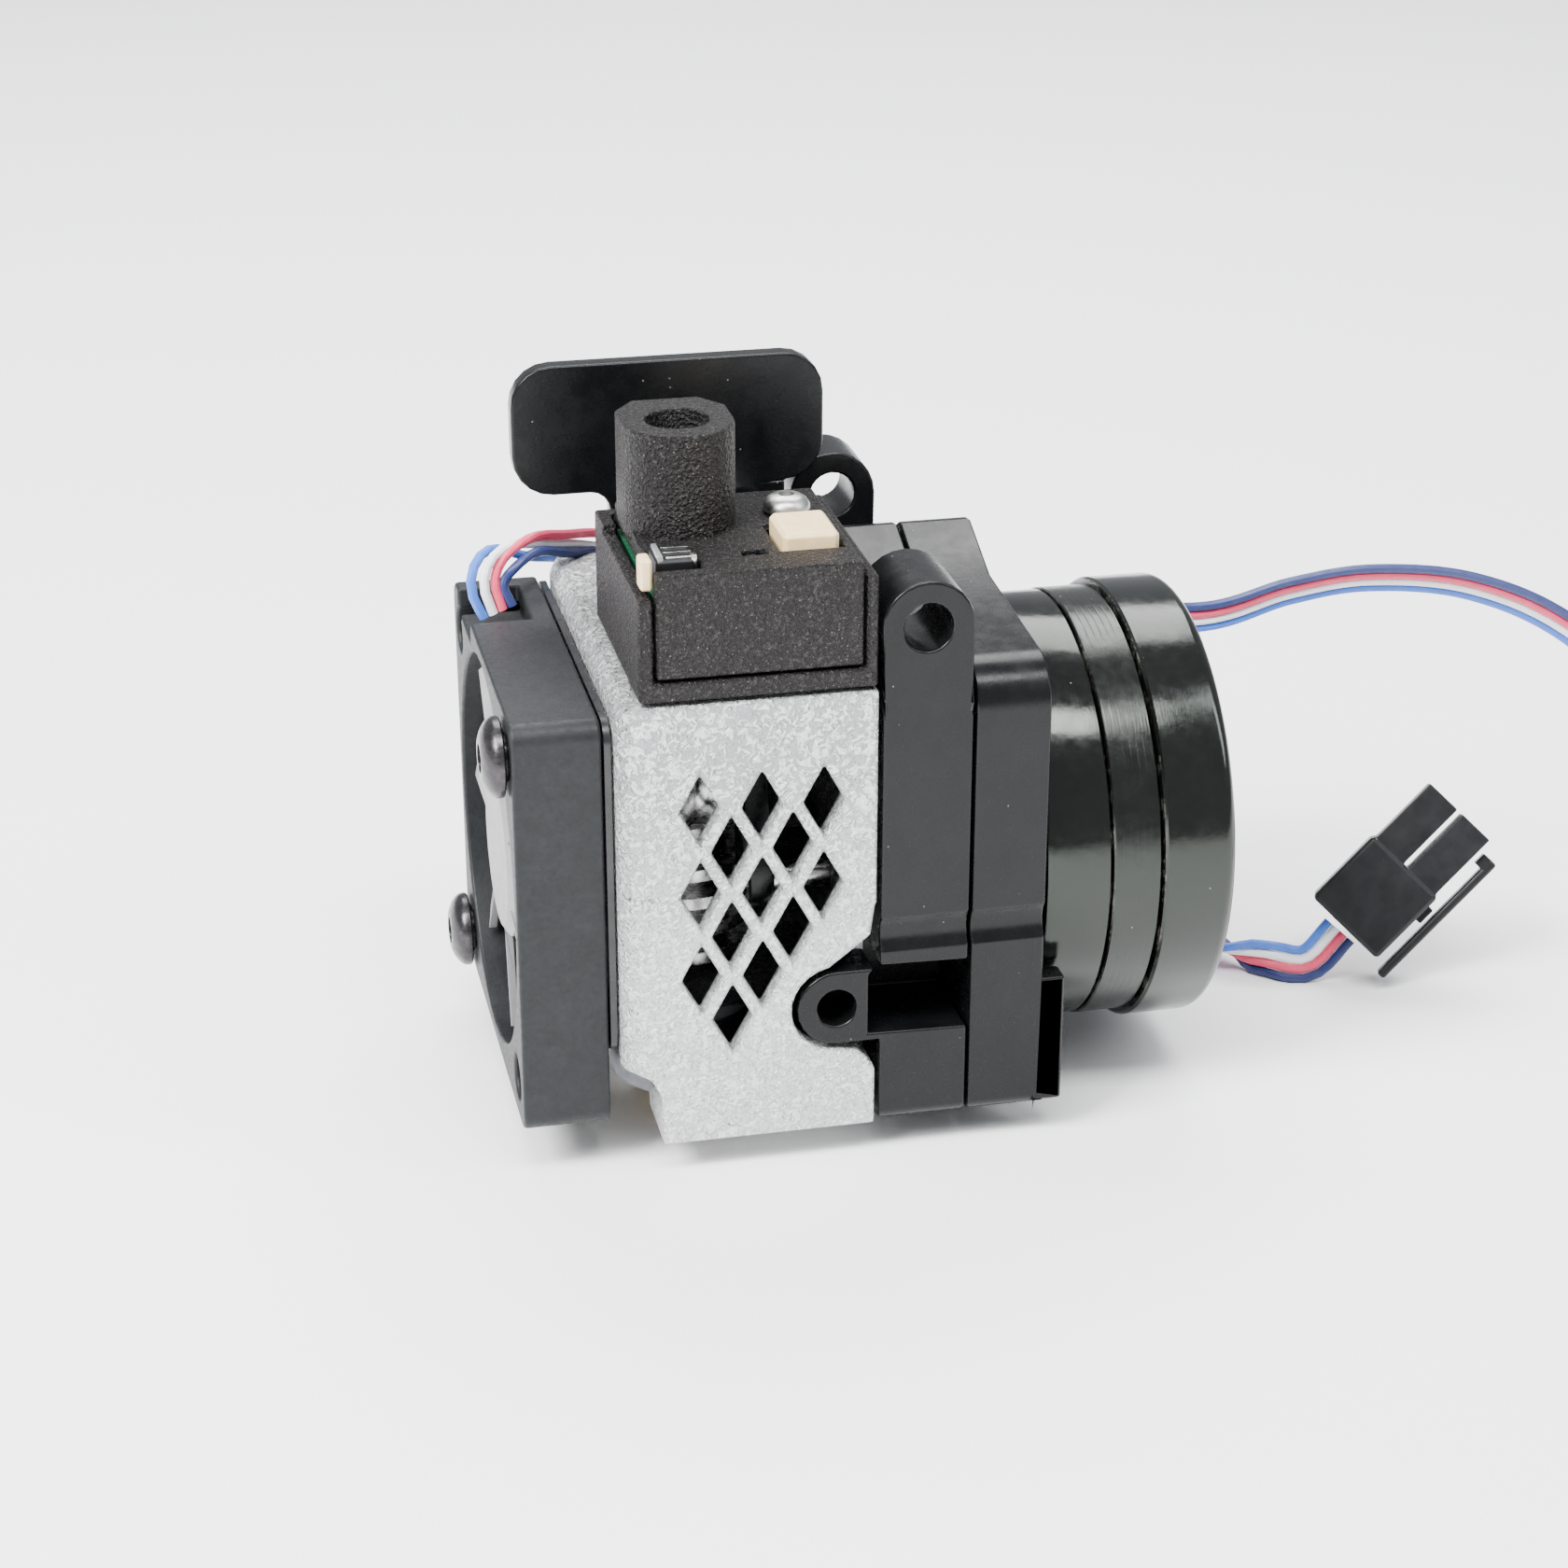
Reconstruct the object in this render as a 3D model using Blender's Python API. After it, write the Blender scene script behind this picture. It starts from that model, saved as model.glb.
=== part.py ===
"""Compact direct-drive hotend assembly.

Frame: +X runs along the motor axis away from the fan, +Y points to the far side, away from the lattice
wall, and +Z is up along the filament. The origin is under the middle of the assembly, level with the
nozzle tip. Lengths below are in millimetres and are scaled to metres when a mesh is made.
"""
import math

import bmesh
import bpy
from mathutils import Matrix, Vector

MM = 0.001

# ---------------------------------------------------------------- driving dimensions
RUN = 0.1               # radial running clearance of shafts and pins
SKIRT_Z = 2.4           # underside of the heatsink above the nozzle tip
SIDE_Y = 16.5           # near and far faces of the assembly
BACK_Y = 14.5           # far face of the heatsink and the gearbox

FAN_SIZE = 30.0
FAN_X = (-24.1, -18.1)
FAN_Z = 18.5
FAN_BORE_R = 13.9
FAN_HOLE = 12.0         # half of the fan's 24 mm hole spacing
SCREW_R = 1.45
SCREW_HOLE_R = 1.65
FAN_SCREW_LENGTH = 9.2
FAN_CORNER_R = 1.3
FAN_SCREWS = (("near_high", -FAN_HOLE, FAN_Z + FAN_HOLE), ("far_low", FAN_HOLE, FAN_Z - FAN_HOLE))

GASKET_X = (-17.95, -17.45)

SINK_X = (-17.3, 0.2)
SINK_TOP = 34.85
SINK_WALL = 1.6
SINK_CORNER_R = 1.7
SINK_CAVITY_X = (-15.5, -2.3)
SINK_CAVITY_Z = (6.4, 32.2)

LATTICE_START = (-11.875, 27.21)    # centre of the first diamond
LATTICE_STEP = (2.10, 3.11)         # half pitches along X and Z
LATTICE_HALF = (1.42, 2.58)         # half width and half height of one diamond
LATTICE_ROWS = ((0, 2, 4), (1, 3), (0, 2, 4), (1, 3), (0, 2), (1,))

FILAMENT = (-11.15, -6.0)           # X and Y of the filament's path
DRIVE_WHEEL_X = (-13.65, -8.65)
WHEEL_R = 3.7
WHEEL_GROOVE_R = 3.2
AXLE_SPREAD = 3.9                   # drive and idler axes either side of the filament

MOTOR_Y = 0.0
MOTOR_Z = 18.3
GEAR_MODULE = 0.4
GEAR_TEETH = 32
PINION_TEETH = 12
GEAR_X = (6.9, 9.9)
DRIVE_SHAFT_R = 2.0
MOTOR_SHAFT_R = 1.3
BEARING_R = 4.0
GEAR_SPACE_R = 7.5
PINION_SPACE_R = 3.4

SHELL_FRONT_X = (0.5, 6.7)
SHELL_REAR_X = (6.9, 12.1)
SHELL_NEAR_TOP = 35.7
SHELL_TOP = 36.5
SHELL_RAISED_TOP = 38.75
SHELL_FAR_TOP = 34.0
EAR_X = 3.5
EAR_Z = 38.97
EAR_R = 3.18
EAR_HOLE_R = 1.65
LOW_EAR_X = -2.52
LOW_EAR_Z = 11.66
LOW_EAR_R = 2.75
LOW_EAR_HOLE_R = 1.35
POCKET_FLOOR_Y = -9.5
GEARBOX_SCREWS = (                  # name, Y and Z
    ("gearbox_screw_1", -13.6, 32.0),
    ("gearbox_screw_2", 11.0, 31.6),
    ("gearbox_screw_3", 11.6, 5.4),
)

BELL_X = (12.4, 17.15)
BELL_R = 15.5
STACK_X = (17.3, 20.7)
STACK_R = 15.6
CAP_BELL_X = (20.85, 26.1)
CAP_BELL_R = 16.1
MOTOR_WALL = 1.3
MOTOR_BOLT_CIRCLE = 13.0
MOTOR_BOLT_R = 0.9

CAP_X = (-15.8, 0.1)
CAP_Y = (-16.5, 0.5)
CAP_Z = (35.15, 42.9)
COVER_X = (-14.6, -0.9)
COVER_Y = (-16.5, -0.9)
COVER_Z = (36.75, 43.9)
COVER_WALL = 1.4
COVER_GAP = 0.25                    # all round the cover, between it and the cap
INLET_R = 3.75
INLET_TOP = 51.0
INLET_BORE_R = 2.15
CAP_SCREW = (-3.7, -5.6)            # X and Y

LEVER_PIVOT = (-12.0, 20.0)         # Y and Z of the lever's hinge
LEVER_PLATE_X = (-8.2, -6.4)
LEVER_PIN_R = 1.0
IDLER_PIN_R = 1.5
TAB_X = (-20.2, 2.2)
TAB_Z = (41.2, 50.6)
TAB_Y = (9.0, 10.6)
TAB_R = 2.9
NECK_X = (-13.3, -0.6)
NECK_Z = 35.7
SPRING_X = -3.9
SPRING_Z = 38.4

PLUG_BACK = Vector((42.2, 2.6, 4.2))
PLUG_AXIS = Vector((0.70, 0.02, 0.70)).normalized()
PLUG_SIDE = Vector((0.62, -0.52, -0.59))
LATCH_HINGE = (4.9, 4.2)            # along and across from the plug's back
FAN_PLUG_BACK = Vector((84.6, -18.6, 2.0))
FAN_PLUG_AXIS = Vector((-0.6, -0.8, 0.0))
LEAD_R = 1.4
MOTOR_LEAD = (
    (23.5, 19.3, 18.6),
    (23.5, 22.4, 18.6),
    (24.6, 25.4, 13.0),
    (26.6, 23.6, 5.6),
    (29.6, 15.6, 2.2),
    (33.4, 6.6, 1.6),
    (36.6, 3.6, 1.5),
)
FAN_LEAD = (
    (-21.6, 9.0, 32.8),
    (-21.8, 9.6, 35.2),
    (-20.4, 10.8, 37.0),
    (-17.4, 12.4, 37.4),
    (-13.4, 15.4, 36.8),
    (-6.0, 18.2, 33.0),
    (3.0, 19.4, 29.4),
    (14.0, 20.4, 26.4),
    (24.0, 20.4, 25.0),
    (34.3, 17.0, 25.0),
    (41.0, 15.4, 27.2),
    (47.5, 14.8, 28.0),
    (56.0, 14.8, 26.6),
    (64.5, 14.6, 22.4),
    (74.0, 13.0, 14.0),
    (82.0, 8.0, 5.2),
    (88.0, -2.0, 2.0),
    (88.6, -11.0, 2.0),
)

MOTOR_AXIS = (19.0, MOTOR_Y, MOTOR_Z)
drive_y = FILAMENT[1] + AXLE_SPREAD
idler_y = FILAMENT[1] - AXLE_SPREAD
gear_distance = GEAR_MODULE * (GEAR_TEETH + PINION_TEETH) / 2
drive_z = MOTOR_Z + math.sqrt(gear_distance ** 2 - (MOTOR_Y - drive_y) ** 2)

# ---------------------------------------------------------------- tools
for old in list(bpy.data.objects):
    bpy.data.objects.remove(old, do_unlink=True)


def material(name, colour, roughness, metallic=0.0):
    mat = bpy.data.materials.new(name)
    mat.use_nodes = True
    shader = mat.node_tree.nodes["Principled BSDF"]
    shader.inputs["Base Color"].default_value = (*colour, 1.0)
    shader.inputs["Roughness"].default_value = roughness
    shader.inputs["Metallic"].default_value = metallic
    return mat


CAST = material("cast_aluminium", (0.62, 0.63, 0.64), 0.45, 1.0)
MOULDED = material("moulded_black", (0.018, 0.019, 0.022), 0.28)
PRINTED = material("printed_black", (0.035, 0.032, 0.036), 0.9)
FAN_BLACK = material("fan_black", (0.028, 0.031, 0.034), 0.5)
ROTOR_GREY = material("rotor_grey", (0.32, 0.32, 0.34), 0.5)
BLACK_STEEL = material("black_steel", (0.03, 0.03, 0.03), 0.22, 0.6)
STEEL = material("steel", (0.5, 0.5, 0.5), 0.3, 1.0)
BRASS = material("brass", (0.72, 0.5, 0.2), 0.3, 1.0)
CREAM = material("cream_nylon", (0.86, 0.76, 0.55), 0.5)
BOARD_GREEN = material("board_green", (0.03, 0.2, 0.08), 0.5)
PTFE = material("ptfe", (0.85, 0.86, 0.88), 0.4)
GASKET = material("gasket_black", (0.01, 0.01, 0.01), 0.35)
RIBBON = material("ribbon", (0.2, 0.3, 0.7), 0.5)
SHIELD_GREY = material("shield_grey", (0.25, 0.26, 0.28), 0.6)


def finish(name, bm, mat=None, smooth=True):
    """Turns a bmesh in millimetres into an object in metres with its faces pointing out."""
    bmesh.ops.recalc_face_normals(bm, faces=bm.faces)
    bm.transform(Matrix.Scale(MM, 4))
    mesh = bpy.data.meshes.new(name)
    bm.to_mesh(mesh)
    bm.free()
    if mat:
        mesh.materials.append(mat)
    if smooth:
        mesh.shade_smooth()
        mesh.set_sharp_from_angle(angle=math.radians(35))
    obj = bpy.data.objects.new(name, mesh)
    bpy.context.scene.collection.objects.link(obj)
    return obj


def place(axis, along, u, v):
    """A point from its place along an axis and its two other coordinates, in X, Y, Z order."""
    if axis == "X":
        return Vector((along, u, v))
    if axis == "Y":
        return Vector((u, along, v))
    return Vector((u, v, along))


def add_prism(bm, axis, outline, low, high):
    rings = [[bm.verts.new(place(axis, level, u, v)) for u, v in outline] for level in (low, high)]
    bm.faces.new(rings[0])
    bm.faces.new(rings[1])
    count = len(outline)
    for i in range(count):
        j = (i + 1) % count
        bm.faces.new((rings[0][i], rings[0][j], rings[1][j], rings[1][i]))


def prism(name, axis, outline, span, mat=None):
    bm = bmesh.new()
    add_prism(bm, axis, outline, span[0], span[1])
    return finish(name, bm, mat)


def turned(name, axis, centre, profile, mat=None, segments=32, ring=False):
    """Turns (radius, along) points about an axis. A ring profile is closed on itself."""
    bm = bmesh.new()
    rings = []
    for radius, along in profile:
        if radius == 0:
            rings.append([bm.verts.new(place(axis, along, centre[0], centre[1]))])
            continue
        circle = []
        for k in range(segments):
            angle = 2 * math.pi * k / segments
            u = centre[0] + radius * math.cos(angle)
            v = centre[1] + radius * math.sin(angle)
            circle.append(bm.verts.new(place(axis, along, u, v)))
        rings.append(circle)
    pairs = list(zip(rings, rings[1:]))
    if ring:
        pairs.append((rings[-1], rings[0]))
    for first, second in pairs:
        for k in range(segments):
            m = (k + 1) % segments
            corners = [first[k % len(first)], first[m % len(first)]]
            corners += [second[m % len(second)], second[k % len(second)]]
            unique = list(dict.fromkeys(corners))
            if len(unique) > 2:
                bm.faces.new(unique)
    return finish(name, bm, mat)


def tube(name, axis, centre, inner, outer, span, mat=None, segments=32):
    profile = [(outer, span[0]), (outer, span[1]), (inner, span[1]), (inner, span[0])]
    return turned(name, axis, centre, profile, mat, segments, ring=True)


def rod(name, axis, centre, radius, span, mat=None, segments=32):
    profile = [(0, span[0]), (radius, span[0]), (radius, span[1]), (0, span[1])]
    return turned(name, axis, centre, profile, mat, segments)


def box(name, x, y, z, mat=None):
    return prism(name, "X", [(y[0], z[0]), (y[1], z[0]), (y[1], z[1]), (y[0], z[1])], x, mat)


def arc(centre, radius, start, end, steps=6):
    """Points along an arc, angles in degrees."""
    points = []
    for k in range(steps + 1):
        angle = math.radians(start + (end - start) * k / steps)
        points.append((centre[0] + radius * math.cos(angle), centre[1] + radius * math.sin(angle)))
    return points


def rounded(u, v, radius, steps=5):
    """A rectangle with round corners."""
    low_u, high_u = u[0] + radius, u[1] - radius
    low_v, high_v = v[0] + radius, v[1] - radius
    return (
        arc((high_u, low_v), radius, -90, 0, steps)
        + arc((high_u, high_v), radius, 0, 90, steps)
        + arc((low_u, high_v), radius, 90, 180, steps)
        + arc((low_u, low_v), radius, 180, 270, steps)
    )


def boolean(target, other, operation):
    step = target.modifiers.new(operation.lower(), "BOOLEAN")
    step.operation = operation
    step.solver = "EXACT"
    step.object = other
    other.hide_render = True
    other.display_type = "WIRE"


def cut(target, *cutters):
    for cutter in cutters:
        boolean(target, cutter, "DIFFERENCE")


def join(target, *others):
    for other in others:
        boolean(target, other, "UNION")


def set_origin(obj, point):
    """Puts an object's origin on its joint's axis and leaves its shape where it is."""
    spot = Vector(point) * MM
    obj.data.transform(Matrix.Translation(-spot))
    obj.location = spot


def soften(obj, width, segments=2):
    step = obj.modifiers.new("soften", "BEVEL")
    step.width = width * MM
    step.segments = segments
    step.limit_method = "ANGLE"
    step.angle_limit = math.radians(40)


# ---------------------------------------------------------------- heatsink
def heatsink():
    round_x = SINK_X[0] + SINK_CORNER_R
    outline = [(SINK_X[1], -SIDE_Y), (SINK_X[1], BACK_Y)]
    outline += arc((round_x, BACK_Y - SINK_CORNER_R), SINK_CORNER_R, 90, 180, 5)
    outline += arc((round_x, -SIDE_Y + SINK_CORNER_R), SINK_CORNER_R, 180, 270, 5)
    body = prism("heatsink_body", "Z", outline, (SKIRT_Z, SINK_TOP), CAST)
    inner = (-SIDE_Y + SINK_WALL, BACK_Y - SINK_WALL)
    cavity = box("cut_cavity", SINK_CAVITY_X, inner, SINK_CAVITY_Z)
    mouth = rod("cut_fan_mouth", "X", (0, FAN_Z), 13.4, (SINK_X[0] - 1, SINK_CAVITY_X[0] + 1))
    cut(body, cavity, mouth, lattice_cutter(), far_slots_cutter())

    # posts for the fan's screws, a shelf round the cold core and fins on the back wall
    posts = []
    for name, y, z in fan_corners():
        span = (SINK_CAVITY_X[0] - 0.5, -14.5)
        posts.append(rod("add_post_" + name, "X", (y, z), 2.5, span, segments=12))
    shelf = box("add_shelf", (SINK_CAVITY_X[0] - 0.4, SINK_CAVITY_X[1] + 0.4), (-12.2, 0.2), (10.4, 12.6))
    join(body, *posts, shelf)
    for index in range(4):
        z = 15.4 + 2.4 * index
        fin_x = (-6.0, SINK_CAVITY_X[1] + 0.4)
        join(body, box(f"add_fin_{index}", fin_x, (-10.2, BACK_Y - 2.6), (z, z + 0.8)))

    # open bottom for the heater and the front foot cut away in front of it
    cut(body, rod("cut_heater_well", "Z", FILAMENT, 5.9, (0, 10.0)))
    foot = [(-19.0, 0.0), (-14.6, 0.0), (-14.8, 6.2), (-15.5, 7.5), (-16.6, 8.0), (-19.0, 8.1)]
    cut(body, prism("cut_foot", "Y", foot, (-18.0, 8.0)))
    cut(body, rod("cut_core", "Z", FILAMENT, 3.4, (9.0, 14.0)))
    cut(body, rod("cut_guide", "Z", FILAMENT, 2.3, (31.0, 36.0), segments=16))

    # lever slot in the roof, shaft hole and pin hole in the back wall
    cut(body, box("cut_lever_slot", (-8.8, -5.8), (-14.3, -5.6), (31.0, 36.0)))
    cut(body, rod("cut_drive_bearing", "X", (drive_y, drive_z), BEARING_R + RUN, (-3.0, 1.0)))
    cut(body, rod("cut_lever_pin", "X", LEVER_PIVOT, LEVER_PIN_R + RUN, (-3.0, -0.4), segments=16))
    for name, y, z in fan_corners():
        cut(body, rod("cut_fan_thread_" + name, "X", (y, z), SCREW_HOLE_R, (-18.5, -14.0), segments=12))
    for name, y, z in GEARBOX_SCREWS:
        cut(body, rod("cut_sink_" + name, "X", (y, z), SCREW_HOLE_R, (-1.8, 1.0), segments=16))

    # the notch round the gearbox's lower ear
    notch = arc((LOW_EAR_X, LOW_EAR_Z), LOW_EAR_R + 0.4, 100, 270, 12) + [
        (-1.0, LOW_EAR_Z - LOW_EAR_R - 0.7),
        (0.0, LOW_EAR_Z - LOW_EAR_R - 1.8),
        (1.0, LOW_EAR_Z - LOW_EAR_R - 4.2),
        (1.0, 20.8),
        (0.1, 19.2),
        (-0.2, 17.0),
        (-1.2, 16.2),
    ]
    cut(body, prism("cut_ear_notch", "Y", notch, (-18.0, -12.6)))

    # the sloping shoulder above the fan
    left = SINK_X[0]
    shoulder = [(left - 1.0, SINK_TOP - 2.0), (left + 1.6, SINK_TOP + 1.0), (left - 1.0, SINK_TOP + 1.0)]
    cut(body, prism("cut_shoulder", "Y", shoulder, (-18.0, 16.0)))
    return body


def lattice_cutter():
    bm = bmesh.new()
    half_x, half_z = LATTICE_HALF
    for row, columns in enumerate(LATTICE_ROWS):
        for column in columns:
            x = LATTICE_START[0] + LATTICE_STEP[0] * column
            z = LATTICE_START[1] - LATTICE_STEP[1] * row
            diamond = [(x - half_x, z), (x, z - half_z), (x + half_x, z), (x, z + half_z)]
            add_prism(bm, "Y", diamond, -SIDE_Y - 1, -SIDE_Y + SINK_WALL + 0.6)
    return finish("cut_lattice", bm, smooth=False)


def far_slots_cutter():
    bm = bmesh.new()
    for index in range(5):
        z = 12.0 + 3.6 * index
        add_prism(bm, "Y", rounded((-13.5, -4.0), (z, z + 2.0), 0.95, 4), BACK_Y - SINK_WALL - 0.6, BACK_Y + 1)
    return finish("cut_far_slots", bm, smooth=False)


def cold_core():
    fin_r, web_r, bore = 4.6, 3.0, 2.3
    profile = [(bore, 22.6), (bore, 9.6), (web_r + 0.2, 9.6), (web_r + 0.2, 13.0)]
    z = 13.0
    while z < 21.0:
        profile += [(fin_r, z), (fin_r, z + 0.9), (web_r, z + 0.9), (web_r, z + 2.1)]
        z += 2.1
    profile[-1] = (web_r, 22.6)
    return turned("cold_core", "Z", FILAMENT, profile, STEEL, 20, ring=True)


def nozzle_and_heater():
    profile = [(0.25, 0.0), (0.55, 0.0), (1.9, 1.7), (3.3, 1.7), (3.3, 3.9), (1.95, 3.9), (1.95, 17.0),
               (1.0, 17.0), (1.0, 1.4)]
    turned("nozzle", "Z", FILAMENT, profile, BRASS, 24, ring=True)
    tube("heater_sleeve", "Z", FILAMENT, 2.3, 4.4, (4.3, 9.2), SHIELD_GREY, 24)
    shield = [(4.75, 3.2), (5.4, 3.2), (5.4, 8.6), (4.75, 8.6)]
    turned("heater_shield", "Z", FILAMENT, shield, SHIELD_GREY, 32, ring=True)


def guide_tubes():
    tube("guide_tube_upper", "Z", FILAMENT, 1.0, 2.0, (32.4, 46.5), PTFE, 16)
    tube("guide_tube_lower", "Z", FILAMENT, 1.0, 2.0, (17.3, 23.2), PTFE, 16)


# ---------------------------------------------------------------- fan
def fan():
    half = FAN_SIZE / 2
    top = FAN_Z + half
    outline = rounded((-half, half), (FAN_Z - half, top), FAN_CORNER_R)
    frame = prism("fan_frame", "X", outline, FAN_X, FAN_BLACK)
    through = (FAN_X[0] - 1, FAN_X[1] + 1)
    cut(frame, rod("cut_fan_bore", "X", (0, FAN_Z), FAN_BORE_R, through, segments=40))
    for name, y, z in fan_corners():
        cut(frame, rod("cut_frame_" + name, "X", (y, z), SCREW_HOLE_R, through, segments=16))
    # lead notch in the top edge
    cut(frame, box("cut_lead_notch", (FAN_X[0] - 1, FAN_X[0] + 4.4), (5.4, 12.4), (top - 1.5, top + 1)))
    # spokes and the stator cup
    spoke_x = (FAN_X[1] - 1.4, FAN_X[1])
    for index in range(4):
        angle = math.radians(45 + 90 * index)
        radial = Vector((math.cos(angle), math.sin(angle)))
        side = Vector((-radial.y, radial.x)) * 0.7
        start = radial * 5.0
        end = radial * (FAN_BORE_R + 0.5)
        outline = [start - side, end - side, end + side, start + side]
        join(frame, prism(f"add_spoke_{index}", "X", [(p.x, p.y + FAN_Z) for p in outline], spoke_x))
    cup = [(0.9, FAN_X[1]), (6.2, FAN_X[1]), (6.2, spoke_x[0]), (2.0, spoke_x[0]), (2.0, -22.2),
           (0.9, -22.2)]
    join(frame, turned("add_stator_cup", "X", (0, FAN_Z), cup, None, 32, ring=True))

    rotor_cup = [(0, -23.5), (5.6, -23.5), (6.4, -23.0), (6.4, -19.9), (5.7, -19.9), (5.7, -22.6),
                 (0.7, -22.6), (0.7, -18.6), (0, -18.6)]
    rotor = turned("fan_rotor", "X", (0, FAN_Z), rotor_cup, ROTOR_GREY, 32)
    join(rotor, fan_blades())
    set_origin(rotor, (-21.1, 0.0, FAN_Z))
    for index, (name, y, z) in enumerate(FAN_SCREWS, start=1):
        button_screw(f"fan_screw_{index}", (y, z), FAN_X[0] - 0.25, FAN_SCREW_LENGTH)


def fan_corners():
    """Name, Y and Z of each screw hole."""
    corners = []
    for side, y in (("near", -FAN_HOLE), ("far", FAN_HOLE)):
        for level, z in (("low", FAN_Z - FAN_HOLE), ("high", FAN_Z + FAN_HOLE)):
            corners.append((f"{side}_{level}", y, z))
    return corners


def fan_blades():
    blades, chord_steps = 7, 5
    sweep = math.radians(40)
    bm = bmesh.new()
    for blade in range(blades):
        start = 2 * math.pi * blade / blades
        layers = []
        for lift in (-0.3, 0.3):
            for radius, twist in ((6.0, 1.0), (9.6, 0.92), (13.2, 0.84)):
                row = []
                for step in range(chord_steps + 1):
                    share = step / chord_steps
                    angle = start + sweep * share
                    along = -23.0 + 2.9 * twist * share ** 1.2 + lift
                    y, z = radius * math.cos(angle), FAN_Z + radius * math.sin(angle)
                    row.append(bm.verts.new((along, y, z)))
                layers.append(row)
        grids = (layers[:3], layers[3:])
        for grid in grids:
            for low, high in zip(grid, grid[1:]):
                for i in range(chord_steps):
                    bm.faces.new((low[i], low[i + 1], high[i + 1], high[i]))
        under, over = grids
        rim = under[0] + [row[-1] for row in under[1:]] + under[2][-2::-1] + [under[1][0]]
        rim_over = over[0] + [row[-1] for row in over[1:]] + over[2][-2::-1] + [over[1][0]]
        for i in range(len(rim)):
            j = (i + 1) % len(rim)
            bm.faces.new((rim[i], rim[j], rim_over[j], rim_over[i]))
    return finish("add_blades", bm)


def button_screw(name, centre, face_x, length):
    """A button-head screw along X whose head stands on face_x and whose shank runs to +X."""
    head_r, head_h = 2.75, 1.65
    profile = [(0, face_x + length), (SCREW_R, face_x + length), (SCREW_R, face_x), (head_r, face_x),
               (head_r, face_x - 0.35), (head_r * 0.85, face_x - 1.0), (head_r * 0.6, face_x - head_h),
               (1.0, face_x - head_h), (1.0, face_x - head_h + 0.9), (0, face_x - head_h + 0.9)]
    return turned(name, "X", centre, profile, BLACK_STEEL, 20)


def fan_gasket():
    half = FAN_SIZE / 2 - 0.2
    sheet = prism("fan_gasket", "X", rounded((-half, half), (8.8, FAN_Z + half), 1.6), GASKET_X, GASKET)
    cut(sheet, rod("cut_gasket_bore", "X", (0, FAN_Z), 13.7, (-19, -16), segments=40))
    for name, y, z in fan_corners():
        if z > FAN_Z:
            cut(sheet, rod("cut_gasket_" + name, "X", (y, z), SCREW_HOLE_R, (-19, -16), segments=16))


# ---------------------------------------------------------------- gearbox
def shell_outline():
    """The gearbox's end view: a round near top corner, a ridge and a far top that falls away."""
    near, far = -SIDE_Y, BACK_Y
    corner = 3.2
    ridge = [(far, SHELL_FAR_TOP), (6.6, SHELL_RAISED_TOP - 0.7), (5.6, SHELL_RAISED_TOP - 0.1),
             (4.7, SHELL_RAISED_TOP), (-0.8, SHELL_TOP)]
    return (
        arc((near + 1.0, SKIRT_Z + 1.0), 1.0, 180, 270, 3)
        + arc((far - 1.0, SKIRT_Z + 1.0), 1.0, 270, 360, 3)
        + ridge
        + arc((near + corner, SHELL_NEAR_TOP - corner), corner, 90, 180, 6)
    )


def gearbox_front():
    shell = prism("gearbox_front", "X", shell_outline(), SHELL_FRONT_X, MOULDED)
    for side, span in (("near", (-SIDE_Y, -9.6)), ("far", (11.5, SIDE_Y))):
        ear = arc((EAR_X, EAR_Z), EAR_R, 0, 180, 12)
        ear += [(EAR_X - EAR_R + 0.5, SHELL_TOP - 4.0), (EAR_X + EAR_R - 0.1, SHELL_TOP - 4.0)]
        join(shell, prism(f"add_ear_{side}", "Y", ear, span))
    low_ear = arc((LOW_EAR_X, LOW_EAR_Z), LOW_EAR_R, 90, 270, 12)
    low_ear += [(1.5, LOW_EAR_Z - LOW_EAR_R), (1.5, LOW_EAR_Z + LOW_EAR_R)]
    join(shell, prism("add_low_ear", "Y", low_ear, (-SIDE_Y, -13.0)))

    # ear holes, the pocket beside the lower ear and the shallow groove above it
    for side, span in (("near", (-18.0, -8.0)), ("far", (9.5, 18.0))):
        cut(shell, rod(f"cut_ear_{side}", "Y", (EAR_X, EAR_Z), EAR_HOLE_R, span, segments=24))
    cut(shell, rod("cut_low_ear", "Y", (LOW_EAR_X, LOW_EAR_Z), LOW_EAR_HOLE_R, (-18.0, -12.0), segments=24))
    pocket = [(-0.3, 9.5), (8.0, 9.3), (8.0, 14.4), (0.2, 14.6), (-0.3, 13.9)]
    cut(shell, prism("cut_pocket", "Y", pocket, (-18.0, POCKET_FLOOR_Y)))
    cut(shell, groove_cutter("cut_front_groove", (0.0, 7.2)))

    # shaft, bearing and gear spaces
    steps = [(0, 0.0), (DRIVE_SHAFT_R + 0.6, 0.0), (DRIVE_SHAFT_R + 0.6, 2.0), (BEARING_R + RUN, 2.0),
             (BEARING_R + RUN, 4.5), (GEAR_SPACE_R, 4.5), (GEAR_SPACE_R, 8.0), (0, 8.0)]
    cut(shell, turned("cut_front_drive", "X", (drive_y, drive_z), steps, segments=24))
    cut(shell, rod("cut_front_pinion", "X", (MOTOR_Y, MOTOR_Z), PINION_SPACE_R, (5.1, 8.6), segments=20))
    for name, y, z in GEARBOX_SCREWS:
        cut(shell, rod("cut_front_" + name, "X", (y, z), SCREW_HOLE_R, (0.0, 7.0), segments=16))
    return shell


def groove_cutter(name, span):
    outline = arc((-SIDE_Y - 1.4, 16.9), 1.9, -90, 90, 8)
    return prism(name, "X", outline, span)


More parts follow.
